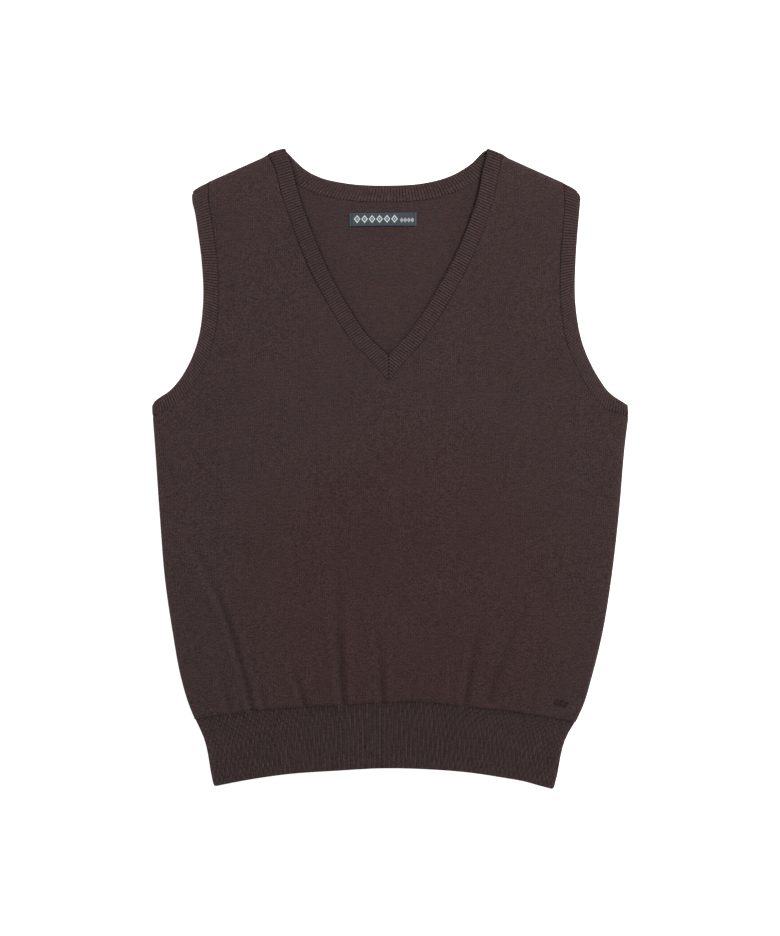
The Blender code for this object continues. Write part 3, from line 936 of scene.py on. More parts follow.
def turn_over(first, last, bulge):
    """The half circle from the section first to the section last. A bulge pushes it out further."""
    start, end = first.points, last.points
    line = start[-1, :2] - start[0, :2]
    outward = np.array([-line[1], line[0]]) / np.linalg.norm(line)
    outward = outward * np.sign(np.dot(outward, start[0, :2]))
    angle = np.pi * np.arange(1, POINTS_PER_RIB) / POINTS_PER_RIB
    towards_seam = SEAM_SHARE + (1 - SEAM_SHARE) * ease(first.to_seam, 0.0, SEAM_FADE)
    rounded = quarter_roll(first.from_edge, TIP_ROUND) * towards_seam
    radius = (np.abs(start[:, 2] - end[:, 2]) / 2 + bulge) * rounded
    points = repeated((start + end) / 2, len(angle))
    points[..., 2] += np.cos(angle)[:, None] * ((start[:, 2] - end[:, 2]) / 2)
    points[..., :2] += np.sin(angle)[:, None, None] * radius[None, :, None] * outward
    return Band(points, *(repeated(row, len(angle)) for row in first[1:]))


def section(band, index):
    return Band(*(values[index] for values in band))


def backwards(band):
    return Band(*(values[::-1] for values in band))


def string_together(*bands):
    return Band(*(np.concatenate(rows) for rows in zip(*bands)))


print("a fold-over has", POINTS_PER_RIB - 1, "sections of its own")

# %% [markdown]
# ## Raising the ribs
# Each point moves out or in square to the band, as its place in the rib asks. The direction comes from
# the neighbours on both sides, so the ribs also follow the band round its fold-overs.

# %% Corrugating and sewing a band
RIB_START = (0.0002, 0.0014)
RIB_END = (0.0006, 0.0030)
SEAM_DIP = 0.00030
SEAM_DIP_REACH = (0.0002, 0.0014)
EDGE_WALL = 0.2
EDGE_ROUND = 0.0010
BAND_THIN = 0.55
BAND_THIN_REACH = 0.0012
SHORTEST_NORMAL = 1e-12


def band_wall(from_edge, to_seam, thin, reach):
    """A band's share of its wall: rounded at the open edge, and thinner within reach of the seam."""
    rounded = EDGE_WALL + (1 - EDGE_WALL) * quarter_roll(from_edge, EDGE_ROUND)
    return rounded - thin * (1 - ease(to_seam, 0.0, reach))


def corrugate(band, closed, rib_shade):
    """The band's points with their ribs, its stitch map, its share of the wall, and its tone."""
    points = band.points
    count = len(points)
    ahead, behind = np.roll(points, -1, axis=0), np.roll(points, 1, axis=0)
    if not closed:
        ahead[-1], behind[0] = points[-1], points[0]
    normal = np.cross(np.gradient(points, axis=1), ahead - behind)
    length = np.linalg.norm(normal, axis=2)[..., None]
    unit = normal / np.maximum(length, SHORTEST_NORMAL)
    normal = np.where(length > SHORTEST_NORMAL, unit, [0.0, 0.0, 1.0])
    if normal[count // 8, len(ACROSS) // 2, 2] < 0:
        normal = -normal
    shown = ease(band.from_edge, *RIB_START) * ease(band.to_seam, *RIB_END)
    turns = np.arange(count) / POINTS_PER_RIB
    rib = ridge(turns)[:, None]
    relief = RIB_DEPTH / 2 * rib * shown
    relief = relief - SEAM_DIP * (1 - ease(band.to_seam, *SEAM_DIP_REACH))
    share = band_wall(band.from_edge, band.to_seam, BAND_THIN, BAND_THIN_REACH)
    knit = np.stack([np.repeat(turns[:, None], len(ACROSS), axis=1), band.from_edge / COURSE], axis=-1)
    # Painted shade in the grooves between the ribs.
    tone = band.tone * (1 - rib_shade * (0.5 - 0.5 * rib) * shown)
    return points + normal * relief[..., None], knit, share, tone


def sew_band(name, band, closed, rib_shade):
    """A sheet from a band's sections. A closed band ends on the section where it began."""
    if closed:
        band = string_together(band, Band(*(values[:1] for values in band)))
    places, knit, share, tone = corrugate(band, closed, rib_shade)
    if closed:
        places[-1] = places[0]
    sheet = lay_grid(name, places, knit, share, tone)
    return join_sheets(name, [sheet])


print("a rib stands", RIB_DEPTH, "m over its grooves")

# %% [markdown]
# ## The neck band
# One strip goes up the left of the V, folds over the shoulder, runs round the back neck and comes down
# on the right. Its two ends meet in a mitre under the point of the V, so there the sections start on
# the mitre line and grow shorter until nothing is left at its foot.

# %% Neck band
MITRE_GAP = 0.00014
MITRE_SHADE = 0.70
MITRE_REACH = 0.0007
MITRE_DIP = 0.0005
MITRE_TOP = 0.0003
# V_TONE is painted shade: each side of the V is darkened by its own amount.
V_TONE = {"left": 0.92, "right": 0.96}
NECK_BULGE = {"left": 0.0004, "right": -0.0017}
# Painted sheen on the open edge of the back neck band.
BACK_NECK_SHEEN = 0.40
BACK_NECK_PLAIN = 0.0026
BACK_NECK_TONE = 1.07
NECK_RIB_SHADE = 0.20
BAND_LIFT = 0.0001
V_LIFT = {"left": 0.0014, "right": 0.0024}
V_LIFT_REACH = 0.020
V_LIFT_FROM = 0.10
V_LIFT_TO = 0.20
V_NECK_Y = [row.y for row in V_NECK_EDGE]
V_NECK_X = {side: [getattr(row, side) for row in V_NECK_EDGE] for side in SIGN}


def over_level(x, y):
    """Height of a band of the front layer, a hair over the front."""
    return swell_level(x, y) + BAND_LIFT


def v_level(side):
    """Height of the V band: its open edge stands off the back a little, more so higher up."""

    def level(x, y):
        inner = np.interp(y, V_NECK_Y, V_NECK_X[side])
        near_edge = np.clip(1 - np.abs(x - inner) / V_LIFT_REACH, 0.0, 1.0)
        return over_level(x, y) + V_LIFT[side] * near_edge * ease(y, V_LIFT_FROM, V_LIFT_TO)

    return level


def v_band(side):
    """One side of the V, darkened by painted shade. Its mitre is lower than the ribs beside it and has more
    painted shade.
    """
    gap = np.array([SIGN[side] * MITRE_GAP, 0.0])
    edge, seam = v_edge(side), v_seam(side)
    edge[0] += gap
    seam[0] += gap
    slope = np.linalg.norm(MITRE_FOOT - V_POINT)
    length = np.sqrt(slope**2 - NECK_BAND**2)
    ribs = round(length_of(seam) / NECK_PITCH)
    mitre = (V_POINT + gap, length)
    band = band_run(edge, seam, v_level(side), ribs, 0.0, V_SEAM_SHADE[side], mitre)
    x, y = band.points[..., 0], band.points[..., 1]
    on_mitre = np.exp(-(((x - V_POINT[0]) / MITRE_REACH) ** 2)) * (y < V_POINT[1] + MITRE_TOP)
    band.points[..., 2] -= MITRE_DIP * on_mitre
    return band._replace(tone=band.tone * V_TONE[side] * (1 - MITRE_SHADE * on_mitre))


def lying_level(x, y):
    """Height of a band of the back, which lies on the surface."""
    return np.full(np.shape(x), BACK_RIB_LEVEL)


def back_neck_band():
    edge, seam = smooth_curve(BACK_NECK_EDGE), back_neck_seam()
    ribs = round(length_of(edge) / NECK_PITCH)
    band = band_run(edge, seam, lying_level, ribs, BACK_NECK_SHEEN, BACK_NECK_SHADE)
    return band._replace(to_seam=band.to_seam - BACK_NECK_PLAIN, tone=BACK_NECK_TONE * band.tone)


left_v, right_v, behind_neck = v_band("left"), v_band("right"), back_neck_band()
neck_band_strip = string_together(
    left_v,
    turn_over(section(left_v, -1), section(behind_neck, 0), NECK_BULGE["left"]),
    behind_neck,
    turn_over(section(behind_neck, -1), section(right_v, -1), NECK_BULGE["right"]),
    backwards(right_v),
)
neck_band = sew_band("neck_band", neck_band_strip, closed=False, rib_shade=NECK_RIB_SHADE)

# %% [markdown]
# ## The armhole bands
# Each is a ring that folds over at the shoulder and again under the arm. The front half of the ring and
# the back half run beside the same two lines, one over the other, and the two fold-overs close it.

# %% Armhole bands
SHOULDER_BULGE = {"left": 0.0004, "right": 0.0001}
UNDERARM_BULGE = {"left": -0.0009, "right": -0.0006}
# Painted sheen on the open edges of the armhole bands.
ARM_SHEEN = 0.50
ARM_RIB_SHADE = {"left": 0.32, "right": 0.40}


def arm_band_strip(side):
    edge, seam = arm_edge(side), arm_seam(side)
    ribs = round(length_of(edge) / ARM_PITCH)
    over = band_run(edge, seam, over_level, ribs, ARM_SHEEN, ARM_SEAM_SHADE[side])
    under = band_run(edge, seam, lying_level, ribs, ARM_SHEEN, ARM_SEAM_SHADE[side])
    return string_together(
        over,
        turn_over(section(over, -1), section(under, -1), SHOULDER_BULGE[side]),
        backwards(under),
        turn_over(section(under, 0), section(over, 0), UNDERARM_BULGE[side]),
    )


arm_bands = {}
for side in SIGN:
    strip = arm_band_strip(side)
    arm_bands[side] = sew_band(f"armhole_band_{side}", strip, closed=True, rib_shade=ARM_RIB_SHADE[side])

# %% [markdown]
# ## The waist bands
# The ribs of the waist run up from the hem to the seam and lean with the slanting sides. A patch between
# four lines does just that: its columns are the ribs. The back band is a hair smaller than the front
# one, so that it never peeps out from under it.

# %% Waist bands
WAIST_STEPS = np.array([0.0, 0.0003, 0.0008, 0.0014, 0.0022, 0.0036])
WAIST_ROWS = 18
WAIST_SIDE_POINTS = 121
WAIST_HEIGHT = 0.062
WAIST_TUCK = 0.0012
WAIST_RIB_DEPTH = 0.00050
CORNER_ROUND = 0.0026
BACK_SHORTER = 0.0004


def waist_grid(shorten):
    """Plan points of a waist band, with its hem and its sides drawn in by shorten."""
    columns = WAIST_RIBS * POINTS_PER_RIB + 1
    hem = evenly(smooth_curve(HEM, FINE_CURVE_POINTS), columns)
    top = evenly(smooth_curve(WAIST_SEAM, FINE_CURVE_POINTS), columns) + [0.0, WAIST_TUCK]
    sides = []
    for side, end in zip(SIGN, (0, -1)):
        inner_rows = edge_of(WAIST_RIB_SIDE, side)[1:-1]
        line = smooth_curve([hem[end], *inner_rows, top[end]], WAIST_SIDE_POINTS)
        line[:, 0] -= SIGN[side] * (SIDE_INSET + shorten)
        sides.append(line)
    to_corner = np.minimum(distances_along(hem), length_of(hem) - distances_along(hem))
    hem[:, 1] += shorten + CORNER_ROUND * (1 - quarter_roll(to_corner, CORNER_ROUND))
    for edge, row in ((hem, 0), (top, -1)):
        ends = [line[row, 0] for line in sides]
        edge[:, 0] = np.interp(edge[:, 0], edge[[0, -1], 0], ends)
        sides[0][row], sides[1][row] = edge[0], edge[-1]
    return respace_rows(patch(hem, top, *sides), WAIST_HEIGHT, WAIST_ROWS, WAIST_STEPS, WAIST_STEPS)[0]


print("a waist band has", WAIST_RIBS, "ribs and", WAIST_ROWS, "rows")

# %% [markdown]
# Just under its seam the front band is a step lower than the knit above. There painted shade darkens the
# grooves between its ribs and a painted highlight lightens the ridges, like a row of small teeth, and a
# little more painted shade lies under the knit. The step and this painted shade fade away down the band.
# The sides and the hem of the band get a painted sheen.

# %% The height, wall and tone of a waist band
WAIST_STEP = 0.0011
WAIST_RIB_START = (0.0002, 0.0016)
WAIST_SIDE_RIB = 0.3
WAIST_SIDE_REACH = (0.001, 0.004)
WAIST_BAND_THIN = 0.45
WAIST_BAND_THIN_REACH = 0.0010
WAIST_SHADE_REACH = 0.0022
TOOTH_SHADE = 0.62
TOOTH_SHINE = 0.16
WAIST_RIB_SHADE = 0.28
WAIST_RIB_FADE = 0.014
UNDER_SEAM_SHADE = 0.10
UNDER_SEAM_REACH = 0.016
HEM_SHEEN = 0.10
WAIST_SIDE_SHEEN = 0.50


def waist_band(name, front_layer):
    """One waist band, and its flat area."""
    grid = waist_grid(0.0 if front_layer else BACK_SHORTER)
    x, y = grid[..., 0], grid[..., 1]
    from_hem, to_seam = to_row(grid, 0), to_row(grid, -1)
    to_side = np.minimum(np.abs(x - x[:, :1]), np.abs(x - x[:, -1:]))
    if front_layer:
        step = WAIST_STEP * (1 - ease(to_seam, 0.0, UNDER_SEAM_REACH))
        base = np.maximum(front_level(x, y), LOWEST_FRONT) - step
    else:
        base = np.full(x.shape, BACK_RIB_LEVEL)
    turns = np.arange(x.shape[1]) / POINTS_PER_RIB
    shown = WAIST_SIDE_RIB + (1 - WAIST_SIDE_RIB) * ease(to_side, *WAIST_SIDE_REACH)
    shown = shown * ease(from_hem, *WAIST_RIB_START)
    relief = WAIST_RIB_DEPTH / 2 * ridge(turns)[None] * shown * (1.0 if front_layer else -1.0)
    z = roll_down(base + relief, to_side, ROLL)
    share = band_wall(from_hem, to_seam, WAIST_BAND_THIN, WAIST_BAND_THIN_REACH)
    knit = np.stack([np.repeat(turns[None], len(x), axis=0), from_hem / COURSE], axis=-1)
    # Painted shade and highlight under the seam, painted sheen at the sides and the hem.
    between_ribs = 0.5 - 0.5 * np.cos(2 * np.pi * turns)[None]
    teeth = TOOTH_SHADE * between_ribs - TOOTH_SHINE * (1 - between_ribs)
    tone = shade(to_seam - WAIST_TUCK, teeth, WAIST_SHADE_REACH)
    tone = tone * shade(to_seam, WAIST_RIB_SHADE * between_ribs, WAIST_RIB_FADE)
    tone = tone * shade(to_seam, UNDER_SEAM_SHADE, UNDER_SEAM_REACH)
    tone = tone * painted_highlight(to_side, WAIST_SIDE_SHEEN, SHEEN_REACH) * painted_highlight(from_hem, HEM_SHEEN, SHEEN_REACH)
    sheet = lay_grid(name, np.dstack([grid, z]), knit, share, tone, faces_up=front_layer)
    return join_sheets(name, [sheet]), flat_area(grid)


waist_front, waist_area = waist_band("waist_band_front", True)
waist_back, waist_back_area = waist_band("waist_band_back", False)
print("each waist band covers", round(waist_area, 4), "square metres")

# %% [markdown]
# ## Linking stitches
# The bands are linked on with small stitches. They show best round the neck, where they sit in the
# groove of the seam, so they are modelled there. One stitch is a stretched sphere. It is modelled once,
# and copied along the seam into a single mesh, because hundreds of objects would be slow to handle.

# %% Rows of stitches
STITCH_REACH = 0.00062
STITCH_THICK = 0.00021


def one_stitch():
    """The points and faces of a single stitch, lying along X."""
    bpy.ops.object.select_all(action="DESELECT")
    bpy.ops.mesh.primitive_uv_sphere_add(segments=8, ring_count=5, radius=1.0)
    bpy.ops.transform.resize(value=(STITCH_THICK, STITCH_THICK, STITCH_REACH))
    bpy.ops.object.transform_apply(location=False, rotation=False, scale=True)
    stitch = bpy.context.object
    points = np.array([vertex.co for vertex in stitch.data.vertices])[:, [2, 0, 1]]
    faces = [tuple(polygon.vertices) for polygon in stitch.data.polygons]
    bpy.data.objects.remove(stitch)
    return points, faces


STITCH_POINTS, STITCH_FACES = one_stitch()


def stitch_row(name, places, headings, reach):
    """One object with a stitch at each place, turned to its heading."""
    headings = headings / np.linalg.norm(headings, axis=1)[:, None]
    aside = np.cross([0.0, 0.0, 1.0], headings)
    aside /= np.linalg.norm(aside, axis=1)[:, None]
    above = np.cross(headings, aside)
    local = STITCH_POINTS * [reach, 1.0, 1.0]
    turned = (
        local[None, :, :1] * headings[:, None]
        + local[None, :, 1:2] * aside[:, None]
        + local[None, :, 2:] * above[:, None]
    )
    points = (places[:, None] + turned).reshape(-1, 3)
    faces = []
    for start in range(0, len(points), len(STITCH_POINTS)):
        faces.extend(tuple(start + corner for corner in face) for face in STITCH_FACES)
    mesh = bpy.data.meshes.new(name)
    mesh.from_pydata(points.tolist(), [], faces)
    mesh.shade_smooth()
    row = bpy.data.objects.new(name, mesh)
    bpy.context.collection.objects.link(row)
    print(name, "has", len(places), "stitches")
    return row


def along_seam(line, gap):
    """Places and headings for stitches a gap apart along a line."""
    length = length_of(line)
    places = np.arange(gap / 2, length, gap)
    points = read_line(line, places)
    headings = read_line(line, np.minimum(places + gap / 4, length)) - read_line(line, places - gap / 4)
    return points, headings


SEAM_STITCH_GAP = 0.0019
SEAM_STITCH_REACH = 1.0
neck_rows = [along_seam(band.points[:, -1], SEAM_STITCH_GAP) for band in (left_v, right_v, behind_neck)]
neck_places, neck_headings = (np.concatenate(rows) for rows in zip(*neck_rows))
neck_stitches = stitch_row("neck_stitches", neck_places, neck_headings, SEAM_STITCH_REACH)

# %% [markdown]
# ## The label
# A narrow woven strip, sewn down at both ends. The real one is folded under there; here its ends lie flat,
# and the fold is a line of painted shade in its finish. It is bare of words: a row of lozenges is woven
# into it instead. The cloth under it is soft, so the middle stands up a little.

# %% Label
LABEL_CENTRE = (-0.0071, 0.2360)
LABEL_WIDTH = 0.0636
LABEL_HEIGHT = 0.0124
LABEL_FLARE = 0.07
LABEL_WALL = 0.0005
LABEL_LEVEL = 0.00172
LABEL_TILT = 0.009
LABEL_ROWS = 21
LABEL_COLUMNS = 81
LABEL_RISE = 0.00025
LABEL_RIPPLE = 0.00012
RIPPLE_RADIANS = 190
SEWN_FROM = LABEL_WIDTH / 2 - 0.0030
SEWN_TO = LABEL_WIDTH / 2 - 0.0014
SELVEDGE = 0.0006
SELVEDGE_WALL = 0.4
label_x, label_y = np.meshgrid(
    np.linspace(-LABEL_WIDTH / 2, LABEL_WIDTH / 2, LABEL_COLUMNS),
    np.linspace(-LABEL_HEIGHT / 2, LABEL_HEIGHT / 2, LABEL_ROWS),
)
label_free = 1 - ease(np.abs(label_x), SEWN_FROM, SEWN_TO)
label_z = LABEL_LEVEL + label_free * (LABEL_RISE + LABEL_RIPPLE * np.sin(label_x * RIPPLE_RADIANS))
label_flare = 1 + LABEL_FLARE * (2 * label_x / LABEL_WIDTH) ** 2 * (label_y < 0)
label_places = np.dstack([
    label_x + LABEL_CENTRE[0],
    label_y * label_flare + LABEL_CENTRE[1] + LABEL_TILT * label_x,
    label_z,
])
label_knit = np.stack([label_x, label_y], axis=-1)
label_rounded = quarter_roll(LABEL_HEIGHT / 2 - np.abs(label_y), SELVEDGE)
label_share = SELVEDGE_WALL + (1 - SELVEDGE_WALL) * label_rounded
label_strip = lay_grid("label_strip", label_places, label_knit, label_share, np.ones(label_x.shape))
label = join_sheets("neck_label_woven", [label_strip])
print("the label has", len(label.data.vertices), "points before it gets its wall")

# %% [markdown]
# Six small stitches hold each end of the label, in a row across it.

# %% The label's end stitches
TACKS = 6
TACK_X = LABEL_WIDTH / 2 - 0.0020
TACK_Y = LABEL_HEIGHT / 2 - 0.0014
TACK_LIFT = 0.0003
TACK_REACH = 1.1
tack_places = []
for x in (-TACK_X, TACK_X):
    for y in np.linspace(-TACK_Y, TACK_Y, TACKS):
        from_centre = (x, y + LABEL_TILT * x)
        tack_places.append((*np.add(LABEL_CENTRE, from_centre), LABEL_LEVEL + TACK_LIFT))
tack_headings = np.array([(0.0, 1.0, 0.0)] * len(tack_places))
label_stitches = stitch_row("label_stitches", np.array(tack_places), tack_headings, TACK_REACH)

# %% [markdown]
# ## The small embroidery
# Near the waist on one side sits a small mark in thread of the vest's own colour: three pairs of short
# slanting bars in satin stitch. Satin stitch is a row of threads laid close, so each bar is a row of the
# same stitch, turned square to the bar.

# %% Satin bars
BAR_LENGTH = 0.0068
BAR_THREADS = 22
SATIN_LIFT = 0.00012
SATIN_REACH = 0.95
PAIR_GAP = 0.0044
BAR_GAP = 0.0020
BAR_PLACES = [pair * PAIR_GAP + bar * BAR_GAP for pair in (-1, 0, 1) for bar in (-0.5, 0.5)]
MARK_CENTRE = np.array([0.1614, -0.2230])
MARK_TURN = np.radians(-15)
BAR_LEAN = np.radians(68)
mark_along = np.array([np.cos(MARK_TURN), np.sin(MARK_TURN)])
bar_along = np.array([np.cos(MARK_TURN + BAR_LEAN), np.sin(MARK_TURN + BAR_LEAN)])
satin_places = []
for place in BAR_PLACES:
    for step in np.linspace(-0.5, 0.5, BAR_THREADS):
        x, y = MARK_CENTRE + place * mark_along + step * BAR_LENGTH * bar_along
        top = front_level(x, y) + HALF_WALL
        satin_places.append((x, y, float(top) + SATIN_LIFT))
satin_headings = np.array([(bar_along[1], -bar_along[0], 0.0)] * len(satin_places))
satin_bars = stitch_row("satin_bars", np.array(satin_places), satin_headings, SATIN_REACH)

# %% [markdown]
# ## Shader maths in plain Python
# A material is a graph of nodes, which is hard to read as code. A small class wraps a socket, so that an
# expression like 1 - mask adds its Math node by itself. Any other node comes from one method.

# %% A socket to calculate with
class Value:
    """A socket that Python can calculate with."""

    def __init__(self, finish, socket):
        self.finish = finish
        self.socket = socket

    def math(self, operation, *others):
        values = dict(enumerate((self, *others)))
        return self.finish.node("ShaderNodeMath", {"operation": operation}, values, 0)

    def __add__(self, other):
        return self.math("ADD", other)

    def __sub__(self, other):
        return self.math("SUBTRACT", other)

    def __mul__(self, other):
        return self.math("MULTIPLY", other)

    def __rsub__(self, other):
        return (self * -1.0).math("ADD", other)

    __radd__ = __add__
    __rmul__ = __mul__

    def __truediv__(self, other):
        return self.math("DIVIDE", other)

    def clamped(self):
        return self.math("MINIMUM", 1.0).math("MAXIMUM", 0.0)

    def __pow__(self, other):
        return self.math("POWER", other)

    def __abs__(self):
        return self.math("ABSOLUTE")

    def fraction(self):
        return self.math("FRACT")

    def sine(self):
        return self.math("SINE")

    def step_up(self, low, high):
        """0 below low, 1 above high, and a soft S between."""
        settings = {"interpolation_type": "SMOOTHSTEP"}
        return self.finish.node("ShaderNodeMapRange", settings, {0: self, 1: low, 2: high}, 0)


print("reflected operators:", sum(name.startswith("__r") for name in vars(Value)))

# %% [markdown]
# A finish is one material with its node tree. Its methods add the nodes that several finishes need, such
# as a noise, a colour between two others, or the tone that a sheet carries.

# %% A new finish
class Finish:
    """A new material. Its shader's constant sockets are set at once."""

    def __init__(self, name, constants):
        self.material = bpy.data.materials.new(name)
        self.material.use_nodes = True
        self.tree = self.material.node_tree
        self.shader = self.tree.nodes["Principled BSDF"]
        self.fill(self.shader, constants)

    def fill(self, node, sockets):
        for key, value in sockets.items():
            if isinstance(value, Value):
                self.tree.links.new(value.socket, node.inputs[key])
            else:
                node.inputs[key].default_value = value

    def node(self, kind, settings, sockets, output):
        """Adds a node and gives one of its outputs as a Value."""
        added = self.tree.nodes.new(kind)
        for key, setting in settings.items():
            setattr(added, key, setting)
        self.fill(added, sockets)
        return Value(self, added.outputs[output])

    def noise(self, place, scale, detail):
        return self.node("ShaderNodeTexNoise", {}, {"Vector": place, "Scale": scale, "Detail": detail}, 0)

    def mix(self, share, low, high):
        """A colour between two colours."""
        sockets = {0: share, 6: low, 7: high}
        return self.node("ShaderNodeMix", {"data_type": "RGBA"}, sockets, 2)

    def times(self, one, other):
        """Two colours multiplied."""
        settings = {"data_type": "RGBA", "blend_type": "MULTIPLY"}
        return self.node("ShaderNodeMix", settings, {0: 1.0, 6: one, 7: other}, 2)

    def axis(self, place, number):
        """One coordinate of a place."""
        return self.node("ShaderNodeSeparateXYZ", {}, {0: place}, number)

    def object_place(self):
        return self.node("ShaderNodeTexCoord", {}, {}, "Object")

    def map_axes(self, name):
        """The two coordinates of a UV map, as Values."""
        place = self.node("ShaderNodeUVMap", {"uv_map": name}, {}, 0)
        return self.axis(place, 0), self.axis(place, 1)

    def tone(self):
        """The tone that each point of the sheet was given: its painted shade and painted sheen."""
        return self.node("ShaderNodeAttribute", {"attribute_name": "tone"}, {}, "Fac")

    def bump(self, height, distance):
        return self.node("ShaderNodeBump", {}, {"Height": height, "Distance": distance}, 0)


def colour(red, green, blue):
    return (red, green, blue, 1.0)


CLOTH = {
    "Metallic": 0.0,
    "IOR": 1.4,
    "Specular IOR Level": 0.25,
    "Sheen Weight": 0.22,
    "Sheen Roughness": 0.30,
}
print("the shader has", len(Finish("trial", CLOTH).shader.inputs), "sockets")
bpy.data.materials.remove(bpy.data.materials["trial"])

# %% [markdown]
# ## The knit
# In plain knit each stitch shows as a V, and the V's stand in columns. The map on the pieces counts wales
# across and courses up, so a stitch is one square of it. Inside a square, the two legs of the V are
# humps that rise outwards. The same pattern serves the ribs, where one column sits on each ridge.
# The yarn is dyed before it is spun, so the brown varies a little from stitch to stitch and in clouds.

# %% Knit finishes
BROWN_DARK = colour(0.0180, 0.0094, 0.0091)
BROWN_LIGHT = colour(0.0850, 0.0525, 0.0515)
RUDDY = colour(1.16, 0.93, 0.92)
GREYISH = colour(0.84, 1.07, 1.08)
HUE_GAIN = 1.6
WARM = colour(0.99, 0.885, 0.87)
WARM_CENTRE = (0.015, -0.135)
WARM_REACH = (0.20, 0.21)


def yarn_variation(finish):
    """0 to 1: fine flecks and soft clouds in the dye."""
    place = finish.object_place()
    wales, courses = finish.map_axes("knit")
    row_place = finish.node("ShaderNodeCombineXYZ", {}, {0: wales * 0.30, 1: courses * 0.75}, 0)
    flecks = finish.noise(place, scale=900.0, detail=1.0)
    rows = finish.noise(row_place, scale=1.0, detail=1.0)
    patches = finish.noise(place, scale=160.0, detail=2.0)
    clouds = finish.noise(place, scale=24.0, detail=3.0)
    return flecks * 0.64 + rows * 0.20 + patches * 0.10 + clouds * 0.06


def warm_patch(finish):
    """1 at the middle of the warmer patch and 0 outside it."""
    across = (finish.axis(finish.object_place(), 0) - WARM_CENTRE[0]) / WARM_REACH[0]
    up = (finish.axis(finish.object_place(), 1) - WARM_CENTRE[1]) / WARM_REACH[1]
    return 1 - (across * across + up * up).step_up(0.0, 1.0)


def yarn_colour(finish, contrast):
    """The brown of the yarn: darker and lighter in its flecks, and here and there ruddier or greyer."""
    share = (yarn_variation(finish) - 0.5) * contrast + 0.5
    brown = finish.mix(share.clamped(), BROWN_DARK, BROWN_LIGHT)
    lean = finish.noise(finish.object_place(), scale=420.0, detail=3.0)
    hue = (lean - 0.5) * HUE_GAIN + 0.5
    return finish.times(brown, finish.mix(hue.clamped(), GREYISH, RUDDY))


def tinted(finish, brown, depth):
    """A colour darkened by a Value."""
    return finish.times(brown, finish.node("ShaderNodeCombineXYZ", {}, {0: depth, 1: depth, 2: depth}, 0))


def woolly(finish, tone, rough, height, hairs, relief):
    """Fills the shader: a colour, a roughness, and a bumpy surface with short hairs on it."""
    hair = finish.noise(finish.object_place(), scale=1500.0, detail=1.0)
    normal = finish.bump(height + hair * hairs, relief)
    finish.fill(finish.shader, {"Base Color": tone, "Roughness": rough, "Normal": normal})
    return finish.material


print("the yarn's colours:", BROWN_DARK[:3], "to", BROWN_LIGHT[:3])

# %% [markdown]
# ## The right side and the wrong side
# The right side shows the V's and the wrong side shows rows of little half rings. In the waist rib some
# columns are drawn together and stand out more than their neighbours, and its finish paints them as a
# ripple of painted light and shade. Both sides also get painted shade in their hollows.

# %% Knit patterns
WHITE = colour(1.0, 1.0, 1.0)
LEG_SLANT = 1.1
LEG_SWELL = 0.6
HUMP_SHARE = 0.65
FACE_DEPTH = 0.14
COLUMN_EDGE = (0.22, 0.48)
RING_BEND = 0.22
REVERSE_DEPTH = 0.18
PULL_PITCH = 0.00211
PULL_TURNS = 1.54
PULL_DRIFT = 0.8
PULL_LEAST = 0.35
PULL_UNEVEN = 1.3


def pulled_columns(finish, wales):
    """About -1 to 1 across the ribs: an uneven ripple two ribs wide, that leans more than they do."""
    place = finish.object_place()
    drift = finish.noise(place, scale=60.0, detail=1.0) * PULL_DRIFT
    ripple = ((finish.axis(place, 0) / PULL_PITCH - wales * PULL_TURNS + drift) * (2 * np.pi)).sine()
    return ripple * (PULL_LEAST + finish.noise(place, scale=140.0, detail=1.0) * PULL_UNEVEN)


def knit_face(name, groove, brightness, contrast, relief, phase=0.0, pull=0.0, warm=False):
    """Columns of V stitches. groove is the painted shade between the columns, pull the painted ripple on
    them.

    A warm knit is a little redder in a patch in the middle of the front.
    """
    finish = Finish(name, CLOTH)
    wales, courses = finish.map_axes("knit")
    column = abs((wales + (0.5 + phase)).fraction() - 0.5)
    leg = (column * (2 * np.pi)).sine()
    hump = abs(((courses - column * LEG_SLANT) * np.pi).sine())
    height = (leg.math("MAXIMUM", 0.0) ** LEG_SWELL) * (1 - HUMP_SHARE + hump * HUMP_SHARE)
    # Painted shade between the columns and in the hollows of each stitch, times the sheet's painted tone.
    open_part = 1 - column.step_up(*COLUMN_EDGE) * groove
    depth = open_part * (1 - FACE_DEPTH + height * FACE_DEPTH) * brightness * finish.tone()
    if pull:
        depth = depth * (1 + pulled_columns(finish, wales) * pull)
    tone = tinted(finish, yarn_colour(finish, contrast), depth)
    if warm:
        tone = finish.times(tone, finish.mix(warm_patch(finish), WHITE, WARM))
    return woolly(finish, tone, rough=0.86 + hump * 0.08, height=height, hairs=0.25, relief=relief)


def knit_reverse(name, brightness, contrast, relief):
    """The wrong side: rows of little half rings, each row shifted by half a stitch."""
    finish = Finish(name, CLOTH)
    wales, courses = finish.map_axes("knit")
    arc = (wales * (2 * np.pi)).sine() * RING_BEND
    hump = abs(((courses + arc) * np.pi).sine())
    # Painted shade in the hollows between the rows of half rings.
    depth = (1 - REVERSE_DEPTH + hump * REVERSE_DEPTH) * brightness * finish.tone()
    tone = tinted(finish, yarn_colour(finish, contrast), depth)
    return woolly(finish, tone, rough=0.88 + hump * 0.06, height=hump, hairs=0.3, relief=relief)


